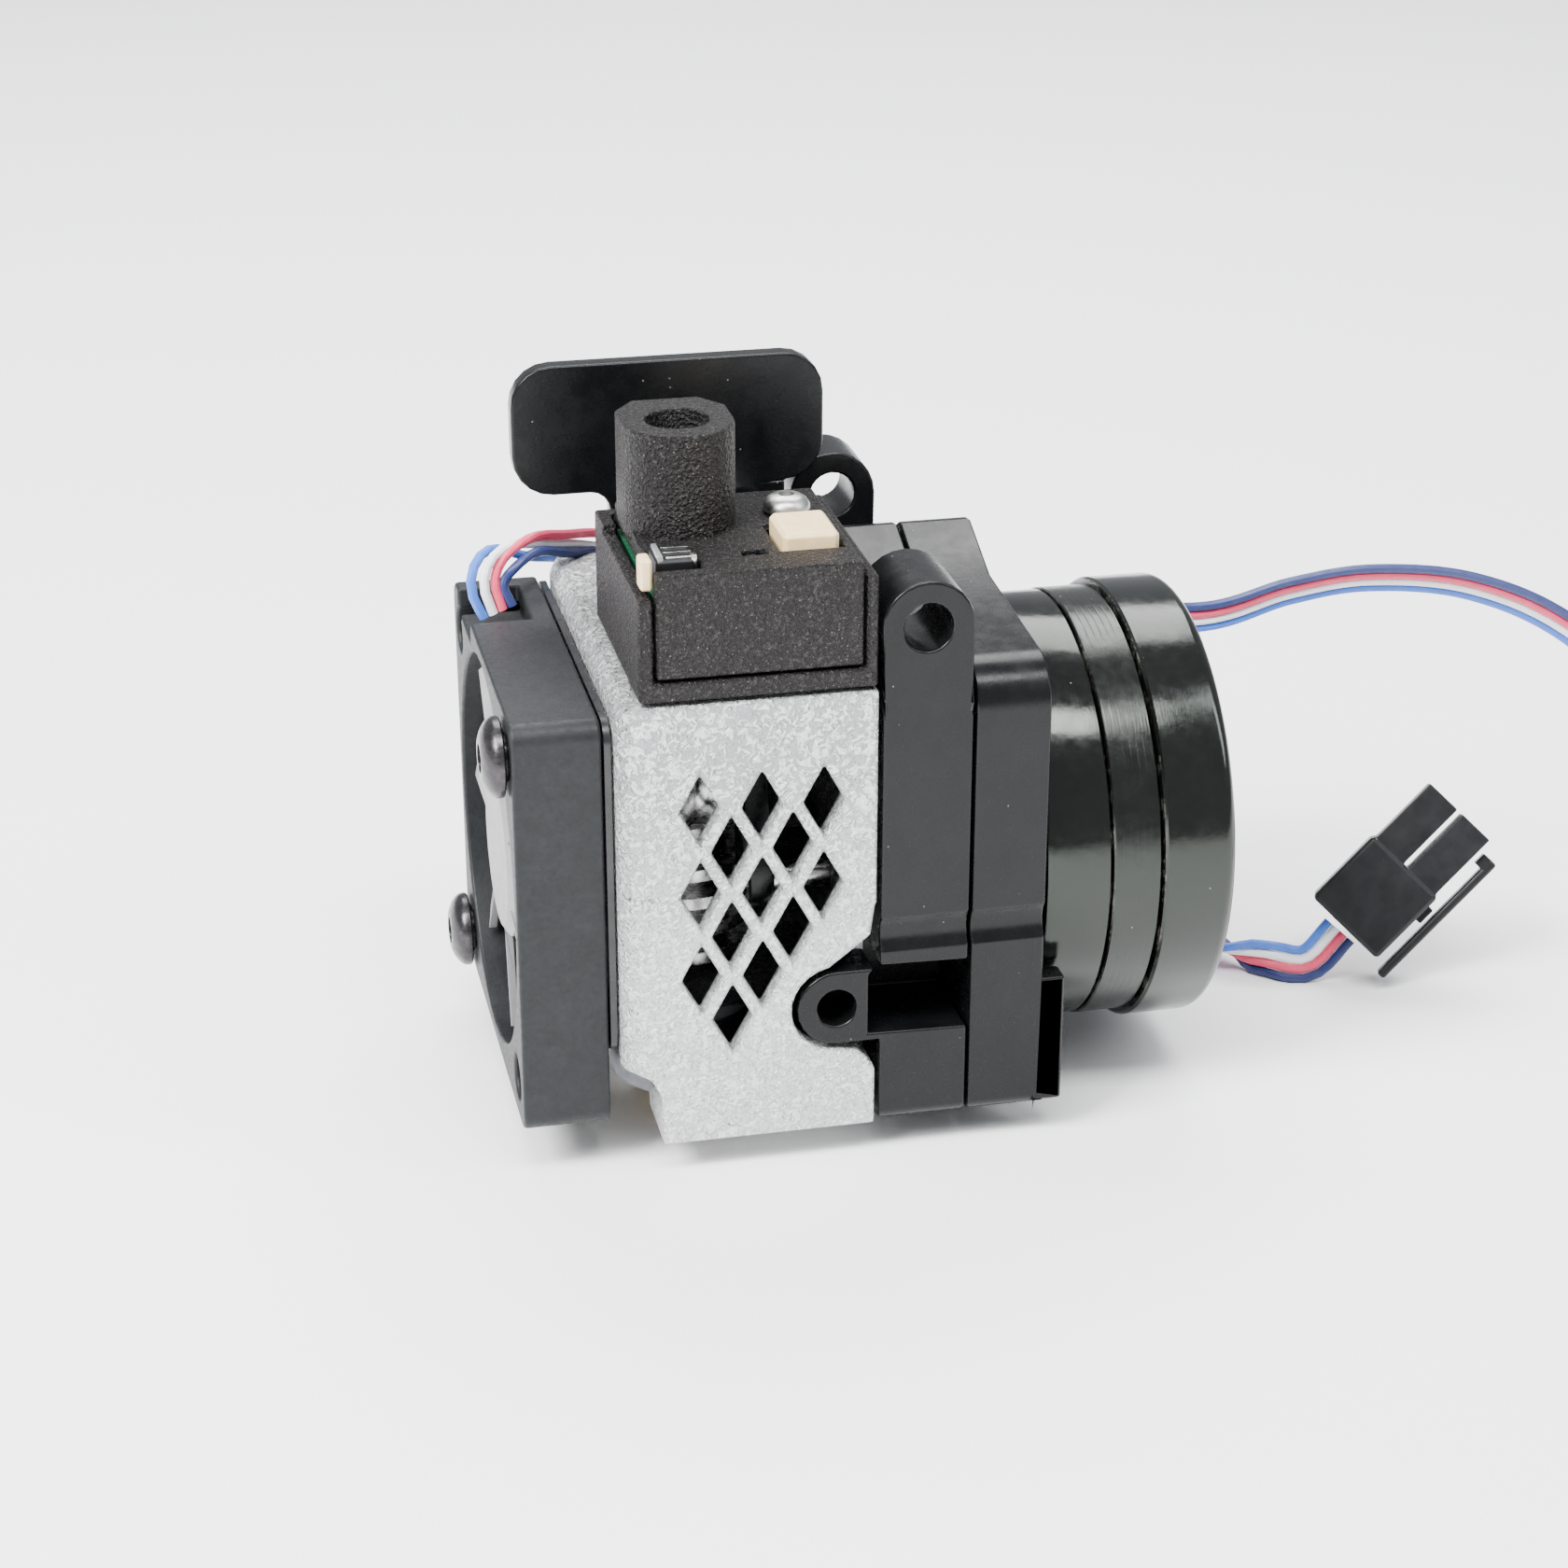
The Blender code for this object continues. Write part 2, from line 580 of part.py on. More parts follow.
def gearbox_rear():
    shell = prism("gearbox_rear", "X", shell_outline(), SHELL_REAR_X, MOULDED)
    foot = box("add_foot", (SHELL_REAR_X[1] - 0.4, SHELL_REAR_X[1] + 1.6), (-SIDE_Y, -14.7), (2.8, 12.4))
    recess_x = (SHELL_REAR_X[1] + 0.1, SHELL_REAR_X[1] + 1.2)
    cut(foot, box("cut_foot_recess", recess_x, (-18.0, -15.3), (5.3, 12.0)))
    join(shell, foot)
    cut(shell, groove_cutter("cut_rear_groove", (6.0, 12.7)))
    cut(shell, rod("cut_rear_gear", "X", (drive_y, drive_z), GEAR_SPACE_R, (6.0, 10.6)))
    cut(shell, rod("cut_rear_pinion", "X", (MOTOR_Y, MOTOR_Z), PINION_SPACE_R, (5.4, 13.0), segments=20))
    for name, y, z in GEARBOX_SCREWS:
        cut(shell, rod("cut_rear_" + name, "X", (y, z), SCREW_HOLE_R, (6.0, 13.0), segments=16))
        cut(shell, rod("cut_head_" + name, "X", (y, z), 2.35, (10.6, 13.0), segments=20))
    return shell


def gearbox_screws():
    for name, y, z in GEARBOX_SCREWS:
        profile = [(0, 12.0), (2.1, 12.0), (2.1, 10.8), (SCREW_R, 10.8), (SCREW_R, -1.5), (0, -1.5)]
        turned(name, "X", (y, z), profile, BLACK_STEEL, 16)


def gear_outline(centre, teeth, phase):
    """Straight-flanked teeth; phase is the angle of one tooth's centre, in radians."""
    pitch_r = GEAR_MODULE * teeth / 2
    root_r = pitch_r - 1.2 * GEAR_MODULE
    tip_r = pitch_r + 0.85 * GEAR_MODULE
    pitch = 2 * math.pi / teeth
    points = []
    for tooth in range(teeth):
        middle = phase + pitch * tooth
        for radius, share in ((root_r, -0.27), (tip_r, -0.095), (tip_r, 0.095), (root_r, 0.27)):
            angle = middle + pitch * share
            points.append((centre[0] + radius * math.cos(angle), centre[1] + radius * math.sin(angle)))
    return points


def drive_train():
    toward_motor = math.atan2(MOTOR_Z - drive_z, MOTOR_Y - drive_y)
    gear_phase = toward_motor + math.pi / GEAR_TEETH
    drive_axis = (FILAMENT[0], drive_y, drive_z)
    gear = prism("reduction_gear", "X", gear_outline((drive_y, drive_z), GEAR_TEETH, gear_phase), GEAR_X, BRASS)
    cut(gear, rod("cut_gear_bore", "X", (drive_y, drive_z), DRIVE_SHAFT_R + RUN, (6.0, 11.0), segments=24))
    set_origin(gear, drive_axis)
    pinion = prism("pinion_gear", "X", gear_outline((MOTOR_Y, MOTOR_Z), PINION_TEETH, toward_motor + math.pi),
                   (GEAR_X[0] - 0.3, GEAR_X[1] + 0.4), BRASS)
    cut(pinion, rod("cut_pinion_bore", "X", (MOTOR_Y, MOTOR_Z), MOTOR_SHAFT_R + RUN, (6.0, 11.0), segments=20))
    set_origin(pinion, MOTOR_AXIS)

    shaft = rod("drive_shaft", "X", (drive_y, drive_z), DRIVE_SHAFT_R, (-14.2, 10.2), STEEL, 24)
    set_origin(shaft, drive_axis)
    set_origin(wheel("drive_wheel", (drive_y, drive_z), DRIVE_SHAFT_R + RUN), drive_axis)
    tube("drive_bearing_front", "X", (drive_y, drive_z), DRIVE_SHAFT_R + RUN, BEARING_R, (-2.2, 0.1), STEEL, 24)
    tube("drive_bearing_rear", "X", (drive_y, drive_z), DRIVE_SHAFT_R + RUN, BEARING_R, (2.2, 4.4), STEEL, 24)


def wheel(name, centre, bore):
    low, high = DRIVE_WHEEL_X
    middle = FILAMENT[0]
    profile = [(bore, low), (WHEEL_R - 0.3, low), (WHEEL_R, low + 0.4), (WHEEL_R, middle - 1.0),
               (WHEEL_GROOVE_R, middle - 0.45), (WHEEL_GROOVE_R, middle + 0.45), (WHEEL_R, middle + 1.0),
               (WHEEL_R, high - 0.4), (WHEEL_R - 0.3, high), (bore, high)]
    return turned(name, "X", centre, profile, STEEL, 24, ring=True)


# ---------------------------------------------------------------- tension lever
def tension_lever():
    plate = arc(LEVER_PIVOT, 2.4, 180, 360, 10)
    plate += [(-9.4, 22.6), (-7.6, 25.4), (-7.6, 33.6)]
    plate += [(-6.2, 36.3), (TAB_Y[0] + 0.4, 36.3), (TAB_Y[0] + 0.4, 39.2)]
    plate += arc((-10.6, 38.0), 1.2, 90, 180, 4)
    plate += [(-11.8, 32.0), (-12.6, 26.5), (-14.4, 22.0)]
    lever = prism("tension_lever", "X", plate, LEVER_PLATE_X, MOULDED)
    join(lever, prism("add_tab", "Y", tab_outline(), TAB_Y))
    rib = [(TAB_Y[0] + 0.3, 36.3), (TAB_Y[0] + 0.3, 47.5), (TAB_Y[0] - 0.9, 44.0), (TAB_Y[0] - 0.9, 39.0)]
    join(lever, prism("add_rib", "X", rib, (-7.9, -6.7)))
    cut(lever, rod("cut_lever_pivot", "X", LEVER_PIVOT, LEVER_PIN_R + RUN, (-9.5, -6.0), segments=16))
    cut(lever, rod("cut_idler_pin", "X", (idler_y, drive_z), IDLER_PIN_R + RUN, (-9.5, -6.0), segments=20))
    hinge = (sum(LEVER_PLATE_X) / 2, *LEVER_PIVOT)
    set_origin(lever, hinge)

    rod("lever_pin", "X", LEVER_PIVOT, LEVER_PIN_R, (-8.6, -0.5), STEEL, 16)
    set_origin(rod("idler_pin", "X", (idler_y, drive_z), IDLER_PIN_R, (-13.8, -6.5), STEEL, 20), hinge)
    idler_axis = (FILAMENT[0], idler_y, drive_z)
    set_origin(wheel("idler_wheel", (idler_y, drive_z), IDLER_PIN_R + RUN), idler_axis)


def tab_outline():
    """Thumb tab above a narrower neck, seen along Y."""
    fillet = 1.4
    left, right = TAB_X
    low, high = TAB_Z
    neck_left, neck_right = NECK_X
    return (
        [(neck_left, NECK_Z), (neck_right, NECK_Z)]
        + [(neck_right, low)]
        + arc((right - TAB_R, low + TAB_R), TAB_R, -90, 0, 5)
        + arc((right - TAB_R, high - TAB_R), TAB_R, 0, 90, 5)
        + arc((left + TAB_R, high - TAB_R), TAB_R, 90, 180, 5)
        + arc((left + TAB_R, low + TAB_R), TAB_R, 180, 270, 5)
        + arc((neck_left - fillet, low - fillet), fillet, 90, 0, 4)
    )


def tension_spring():
    profile = [(0, -3.6), (1.2, -3.6), (1.2, 0.9), (2.5, 0.9), (2.5, 1.9), (1.2, 1.9), (1.2, 5.6), (0, 5.6)]
    turned("tension_screw", "Y", (SPRING_X, SPRING_Z), profile, BLACK_STEEL, 20)
    turns, per_turn, sides = 5, 12, 6
    start, end, radius, wire = 2.45, TAB_Y[0] - 0.55, 1.95, 0.25
    bm = bmesh.new()
    rings = []
    count = turns * per_turn
    for k in range(count + 1):
        angle = 2 * math.pi * k / per_turn
        outward = Vector((math.cos(angle), 0, math.sin(angle)))
        centre = Vector((SPRING_X, start + (end - start) * k / count, SPRING_Z)) + outward * radius
        ring = []
        for s in range(sides):
            turn = 2 * math.pi * s / sides
            around = outward * wire * math.cos(turn) + Vector((0, wire * math.sin(turn), 0))
            ring.append(bm.verts.new(centre + around))
        rings.append(ring)
    for first, second in zip(rings, rings[1:]):
        for s in range(sides):
            t = (s + 1) % sides
            bm.faces.new((first[s], first[t], second[t], second[s]))
    bm.faces.new(rings[0])
    bm.faces.new(rings[-1])
    finish("tension_spring", bm, STEEL)


# ---------------------------------------------------------------- cap and electronics
def cap():
    """The open tray under the cover: a bottom frame, a low left wall, a right wall and a far wall."""
    chamfer = 0.3
    outline = [
        (CAP_X[0] + chamfer, CAP_Y[0]), (CAP_X[1], CAP_Y[0]), (CAP_X[1], CAP_Y[1]),
        (CAP_X[0], CAP_Y[1]), (CAP_X[0], CAP_Y[0] + chamfer),
    ]
    body = prism("cap", "Z", outline, CAP_Z, PRINTED)
    inside = (COVER_X[0] - COVER_GAP, COVER_X[1] + COVER_GAP)
    far = COVER_Y[1] + COVER_GAP
    cut(body, box("cut_cap_inside", inside, (-18.0, far), (COVER_Z[0] - COVER_GAP, 46.0)))
    cut(body, box("cut_cap_bottom", (-14.2, -1.4), (-14.9, far), (34.0, 38.0)))
    # the left wall is lower than the right one along its near part
    cut(body, box("cut_left_wall", (-17.0, inside[0] + 0.5), (-18.0, -3.0), (42.3, 46.0)))
    # way out for the lever's arm, and the tension screw's hole
    cut(body, box("cut_arm_exit", (-8.8, -5.8), (-1.5, 1.5), (34.0, 41.6)))
    cut(body, rod("cut_tension_screw", "Y", (SPRING_X, SPRING_Z), 1.2 + RUN, (-2.0, 2.0), segments=20))
    return body


def cap_cover():
    """The cover: a near plate and a roof in one piece, with the filament inlet on it."""
    side = [(COVER_Y[0], COVER_Z[0]), (COVER_Y[0] + COVER_WALL, COVER_Z[0]),
            (COVER_Y[0] + COVER_WALL, COVER_Z[1] - COVER_WALL), (COVER_Y[1], COVER_Z[1] - COVER_WALL),
            (COVER_Y[1], COVER_Z[1]), (COVER_Y[0], COVER_Z[1])]
    body = prism("cap_cover", "X", side, COVER_X, PRINTED)
    x, y = FILAMENT
    inlet = arc((x, y - 0.35), INLET_R, 180, 360, 16)
    inlet += [(x + INLET_R, y + 2.6), (x + 2.3, y + 4.7), (x - 2.3, y + 4.7), (x - INLET_R, y + 2.6)]
    join(body, prism("add_inlet", "Z", inlet, (COVER_Z[1] - 0.5, INLET_TOP)))
    join(body, rod("add_guide_boss", "Z", FILAMENT, 2.55, (38.5, 43.0), segments=24))
    cut(body, rod("cut_inlet_bore", "Z", FILAMENT, INLET_BORE_R, (34.0, 53.0), segments=24))
    # windows of the two sockets, the screw's hole and the moulding mark
    cut(body, box("cut_big_window", (-5.8, -1.4), (-13.3, -7.9), (41.0, 46.0)))
    cut(body, box("cut_small_window", (-16.0, -11.3), (-15.4, -11.7), (41.0, 46.0)))
    cut(body, rod("cut_cap_screw", "Z", CAP_SCREW, 1.0 + RUN, (41.0, 46.0), segments=16))
    cut(body, box("cut_roof_mark", (-8.3, -6.7), (-13.6, -12.7), (COVER_Z[1] - 0.5, 46.0)))
    return body


def electronics():
    board = box("breakout_board", (-14.5, -1.0), (-14.7, -1.0), (41.0, 41.9), BOARD_GREEN)
    cut(board, rod("cut_board_guide", "Z", FILAMENT, 3.0, (40.0, 43.0), segments=24))
    cut(board, rod("cut_board_screw", "Z", CAP_SCREW, 1.4, (40.0, 43.0), segments=16))
    cut(board, box("cut_board_arm", (-8.8, -5.8), (-7.0, 0.0), (40.0, 43.0)))

    socket = box("heater_socket", (-5.5, -1.7), (-13.0, -8.2), (42.2, 44.85), CREAM)
    soften(socket, 0.3, 1)
    cut(socket, box("cut_socket_mouth", (-4.9, -2.3), (-9.2, -7.0), (42.8, 44.3)))
    small = box("sensor_socket", (-15.45, -14.65), (-15.7, -14.1), (42.6, 44.75), CREAM)
    soften(small, 0.15, 1)
    plug = box("sensor_plug", (-14.3, -11.7), (-15.0, -12.1), (42.2, 44.4), MOULDED)
    soften(plug, 0.2, 1)

    roof = COVER_Z[1]
    profile = [(0, roof - 1.4), (1.0, roof - 1.4), (1.0, roof + 0.1), (1.9, roof + 0.1), (1.9, roof + 0.7),
               (1.5, roof + 1.2), (0.7, roof + 1.4), (0.7, roof + 0.8), (0, roof + 0.8)]
    turned("cap_screw", "Z", CAP_SCREW, profile, STEEL, 20)


# ---------------------------------------------------------------- motor
def motor():
    centre = (MOTOR_Y, MOTOR_Z)
    wall = MOTOR_WALL
    low, high = BELL_X
    front = [(4.1, low), (BELL_R - 0.5, low), (BELL_R, low + 0.5), (BELL_R, high), (BELL_R - wall, high),
             (BELL_R - wall, low + wall), (5.4, low + wall), (5.4, low + 2.9), (4.1, low + 2.9)]
    turned("motor_front_bell", "X", centre, front, BLACK_STEEL, 48, ring=True)

    stack = tube("motor_stack", "X", centre, 8.8, STACK_R, STACK_X, BLACK_STEEL, 48)

    low, high = CAP_BELL_X
    outer = CAP_BELL_R
    floor = high - wall - 0.6
    rear = [(outer - wall, low), (outer - 0.2, low), (outer, low + 0.2), (outer, high - 0.9),
            (outer - 0.25, high - 0.35), (outer - 0.9, high), (0, high), (0, high - 0.9),
            (4.1, high - 0.9), (4.1, high - 3.2), (5.4, high - 3.2), (5.4, floor), (outer - wall, floor)]
    rear_bell = turned("motor_rear_bell", "X", centre, rear, BLACK_STEEL, 48, ring=True)

    for index in range(4):
        angle = math.radians(45 + 90 * index)
        reach = MOTOR_BOLT_CIRCLE
        spot = (MOTOR_Y + reach * math.cos(angle), MOTOR_Z + reach * math.sin(angle))
        profile = [(0, 25.9), (1.7, 25.9), (1.7, 24.9), (MOTOR_BOLT_R, 24.9), (MOTOR_BOLT_R, 14.2), (0, 14.2)]
        turned(f"motor_bolt_{index + 1}", "X", spot, profile, STEEL, 16)
        cut(stack, rod(f"cut_stack_bolt_{index}", "X", spot, MOTOR_BOLT_R + 0.2, (16.0, 22.0), segments=12))
        cut(rear_bell, rod(f"cut_rear_bolt_{index}", "X", spot, MOTOR_BOLT_R + 0.2, (20.0, 27.0), segments=12))
        cut(rear_bell, rod(f"cut_rear_head_{index}", "X", spot, 1.9, (24.75, 27.0), segments=16))

    set_origin(rod("motor_shaft", "X", centre, MOTOR_SHAFT_R, (6.4, 24.7), STEEL, 20), MOTOR_AXIS)
    rotor = tube("motor_rotor", "X", centre, MOTOR_SHAFT_R + RUN, 8.4, (16.1, 22.4), STEEL, 32)
    set_origin(rotor, MOTOR_AXIS)
    tube("motor_bearing_front", "X", centre, MOTOR_SHAFT_R + RUN, BEARING_R, (12.6, 15.2), STEEL, 24)
    tube("motor_bearing_rear", "X", centre, MOTOR_SHAFT_R + RUN, BEARING_R, (22.9, 24.9), STEEL, 24)

    # strain relief of the lead on the far side of the rear bell
    grommet = box("lead_grommet", (21.9, 25.1), (MOTOR_Y + CAP_BELL_R + 0.3, 18.4), (17.0, 20.2), MOULDED)
    soften(grommet, 0.4, 1)


# ---------------------------------------------------------------- leads and plug
def smooth_route(points, spacing):
    """Catmull-Rom points through a route, one about every spacing."""
    vectors = [Vector(p) for p in points]
    padded = [vectors[0] * 2 - vectors[1], *vectors, vectors[-1] * 2 - vectors[-2]]
    fine = []
    for a, b, c, d in zip(padded, padded[1:], padded[2:], padded[3:]):
        for step in range(16):
            t = step / 16
            fine.append(0.5 * ((2 * b) + (c - a) * t + (2 * a - 5 * b + 4 * c - d) * t ** 2
                               + (3 * b - a - 3 * c + d) * t ** 3))
    fine.append(vectors[-1])
    length = sum((q - p).length for p, q in zip(fine, fine[1:]))
    count = max(2, round(length / spacing))
    result, travelled, target = [fine[0]], 0.0, length / count
    for p, q in zip(fine, fine[1:]):
        piece = (q - p).length
        while piece and travelled + piece >= target - 1e-9 and len(result) < count:
            result.append(p + (q - p) * ((target - travelled) / piece))
            target += length / count
        travelled += piece
    result.append(fine[-1])
    return result


def lead(name, route):
    curve = bpy.data.curves.new(name, "CURVE")
    curve.dimensions = "3D"
    curve.bevel_depth = LEAD_R * MM
    curve.bevel_resolution = 2
    curve.use_fill_caps = True
    points = smooth_route(route, 2.2 * 2 * LEAD_R)
    spline = curve.splines.new("POLY")
    spline.points.add(len(points) - 1)
    for point, spot in zip(spline.points, points):
        point.co = (*(spot * MM), 1.0)
    curve.materials.append(RIBBON)
    obj = bpy.data.objects.new(name, curve)
    bpy.context.scene.collection.objects.link(obj)
    return obj


def plug_frame():
    """Back centre and the axis, width and thickness directions of the motor's plug."""
    axis = PLUG_AXIS
    side = (PLUG_SIDE - axis * PLUG_SIDE.dot(axis)).normalized()
    return PLUG_BACK, axis, side, axis.cross(side)


def block(name, frame, along, across, thick, mat=None):
    """A block in a plug's own directions, measured from its back centre."""
    back, axis, side, depth = frame
    bm = bmesh.new()
    corners = [(across[0], thick[0]), (across[1], thick[0]), (across[1], thick[1]), (across[0], thick[1])]
    rings = []
    for level in along:
        rings.append([bm.verts.new(back + axis * level + side * u + depth * v) for u, v in corners])
    bm.faces.new(rings[0])
    bm.faces.new(rings[1])
    for i in range(4):
        j = (i + 1) % 4
        bm.faces.new((rings[0][i], rings[0][j], rings[1][j], rings[1][i]))
    return finish(name, bm, mat)


def motor_plug():
    """The four-way plug of the motor's lead: a body, four legs and a latch arm on a small hinge."""
    frame = plug_frame()
    body = block("motor_plug", frame, (0.0, 6.6), (-3.4, 3.4), (-2.6, 2.6), MOULDED)
    soften(body, 0.25, 1)
    for row, across in enumerate(((-3.1, -0.25), (0.25, 3.1))):
        for column, thick in enumerate(((-2.4, -0.2), (0.2, 2.4))):
            join(body, block(f"add_leg_{row}{column}", frame, (6.2, 12.4), across, thick))
    for row, across in enumerate(((-2.5, -0.9), (0.9, 2.5))):
        for column, thick in enumerate(((-1.9, -0.7), (0.7, 1.9))):
            cut(body, block(f"cut_leg_{row}{column}", frame, (8.4, 13.0), across, thick))
    # bracket that carries the latch
    join(body, block("add_latch_root", frame, (4.2, 5.6), (3.2, 3.9), (-1.3, 1.3)))

    latch = block("plug_latch", frame, (-0.8, 11.4), (4.2, 4.9), (-1.3, 1.3), MOULDED)
    soften(latch, 0.15, 1)
    join(latch, block("add_latch_hook", frame, (10.4, 11.4), (3.6, 4.4), (-1.3, 1.3)))
    back, axis, side, _ = frame
    set_origin(latch, back + axis * LATCH_HINGE[0] + side * LATCH_HINGE[1])


def fan_plug():
    """The small four-way plug at the fan lead's loose end, lying flat."""
    axis = FAN_PLUG_AXIS
    up = Vector((0.0, 0.0, 1.0))
    frame = (FAN_PLUG_BACK, axis, axis.cross(up), up)
    body = block("fan_plug", frame, (0.0, 6.2), (-3.0, 3.0), (-1.75, 1.75), CREAM)
    soften(body, 0.2, 1)
    for index in range(4):
        across = -2.25 + 1.5 * index
        cut(body, block(f"cut_way_{index}", frame, (4.2, 7.0), (across - 0.45, across + 0.45), (-0.8, 0.9)))


def main():
    heatsink()
    cold_core()
    nozzle_and_heater()
    guide_tubes()
    fan()
    fan_gasket()
    gearbox_front()
    gearbox_rear()
    gearbox_screws()
    drive_train()
    tension_lever()
    tension_spring()
    cap()
    cap_cover()
    electronics()
    motor()
    lead("motor_lead", (*MOTOR_LEAD, PLUG_BACK - PLUG_AXIS * 4.0, PLUG_BACK - PLUG_AXIS * 0.5))
    lead("fan_lead", (*FAN_LEAD, FAN_PLUG_BACK - FAN_PLUG_AXIS * 0.5))
    motor_plug()
    fan_plug()


main()
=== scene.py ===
"""Looks of the compact direct-drive hotend assembly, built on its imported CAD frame.

Frame: +X along the motor axis away from the fan, +Y to the far side, +Z up. Sizes here are written
in millimetres, and MM turns them into metres.
"""
import math

import bmesh
import bpy
from mathutils import Matrix, Vector


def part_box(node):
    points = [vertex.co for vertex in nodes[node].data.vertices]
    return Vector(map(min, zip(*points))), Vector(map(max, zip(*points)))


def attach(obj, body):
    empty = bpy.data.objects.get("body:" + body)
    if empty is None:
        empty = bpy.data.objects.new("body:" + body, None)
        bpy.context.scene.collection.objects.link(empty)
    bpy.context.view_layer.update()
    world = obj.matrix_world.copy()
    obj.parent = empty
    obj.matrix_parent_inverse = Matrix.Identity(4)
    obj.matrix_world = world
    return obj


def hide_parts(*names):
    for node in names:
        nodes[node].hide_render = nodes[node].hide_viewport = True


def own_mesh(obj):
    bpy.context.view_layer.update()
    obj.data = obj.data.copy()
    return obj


MM = 0.001
HOUSING = "housing"

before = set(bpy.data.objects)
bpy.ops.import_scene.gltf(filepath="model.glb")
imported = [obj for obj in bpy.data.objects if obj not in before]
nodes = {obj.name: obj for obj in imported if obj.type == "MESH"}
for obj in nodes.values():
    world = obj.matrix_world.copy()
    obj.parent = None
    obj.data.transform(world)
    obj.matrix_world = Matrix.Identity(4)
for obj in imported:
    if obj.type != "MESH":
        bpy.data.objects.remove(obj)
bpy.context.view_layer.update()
scene = bpy.context.scene


def limits(node):
    """Lowest and highest corner of a CAD node, in millimetres."""
    low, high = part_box(node)
    return low / MM, high / MM


# ---------------------------------------------------------------- camera, floor and light
CAMERA_PLACE = Vector((-0.04847, -0.21030, 0.11483))
CAMERA_AZIMUTH, CAMERA_ELEVATION = -12.374, 24.352
LENS, SENSOR = 75.14, 36.0
LENS_SHIFT = (-0.0027, 0.0326)
LIGHT_TARGET = Vector((0, 0, 0.022))
SKY, SKY_STRENGTH = (0.92, 0.95, 1.0, 1), 0.62
FLOOR_HALF = 1.5


def direction(azimuth, elevation):
    """Unit vector from the object towards a viewer at these angles in degrees."""
    a, e = math.radians(azimuth), math.radians(elevation)
    return Vector((math.sin(a) * math.cos(e), -math.cos(a) * math.cos(e), math.sin(e)))


def make_camera():
    data = bpy.data.cameras.new("camera")
    data.sensor_width = SENSOR
    data.lens = LENS
    data.shift_x, data.shift_y = LENS_SHIFT
    data.clip_start, data.clip_end = 0.01, 10.0
    camera = bpy.data.objects.new("camera", data)
    camera.location = CAMERA_PLACE
    camera.rotation_mode = "QUATERNION"
    camera.rotation_quaternion = (-direction(CAMERA_AZIMUTH, CAMERA_ELEVATION)).to_track_quat("-Z", "Y")
    scene.collection.objects.link(camera)
    scene.camera = camera


def softbox(name, azimuth, elevation, distance, size, power, colour=(1, 1, 1)):
    """A rectangular area lamp that faces the middle of the object."""
    toward = direction(azimuth, elevation)
    data = bpy.data.lights.new(name, "AREA")
    data.shape = "RECTANGLE"
    data.size, data.size_y = size
    data.energy = power
    data.color = colour
    lamp = bpy.data.objects.new(name, data)
    lamp.location = LIGHT_TARGET + toward * distance
    lamp.rotation_mode = "QUATERNION"
    lamp.rotation_quaternion = (-toward).to_track_quat("-Z", "Y")
    scene.collection.objects.link(lamp)


def make_studio():
    world = bpy.data.worlds.new("studio")
    world.use_nodes = True
    background = world.node_tree.nodes["Background"]
    background.inputs["Color"].default_value = SKY
    background.inputs["Strength"].default_value = SKY_STRENGTH
    scene.world = world
    softbox("key", -62, 44, 0.55, (0.22, 0.22), 7.5)
    softbox("top", -10, 66, 0.6, (0.5, 0.14), 5.0)
    softbox("fill", 62, 40, 0.6, (0.12, 0.4), 1.6, (0.95, 0.98, 1.0))
    softbox("back", 170, 55, 0.6, (0.5, 0.3), 5.0)

    bm = bmesh.new()
    bmesh.ops.create_grid(bm, x_segments=1, y_segments=1, size=FLOOR_HALF)
    mesh = bpy.data.meshes.new("floor")
    bm.to_mesh(mesh)
    bm.free()
    floor = bpy.data.objects.new("floor", mesh)
    scene.collection.objects.link(floor)
    mesh.materials.append(plain_floor())


def plain_floor():
    mat = bpy.data.materials.new("floor")
    mat.use_nodes = True
    shader = mat.node_tree.nodes["Principled BSDF"]
    shader.inputs["Base Color"].default_value = (0.97, 0.97, 0.97, 1)
    shader.inputs["Roughness"].default_value = 0.95
    return mat


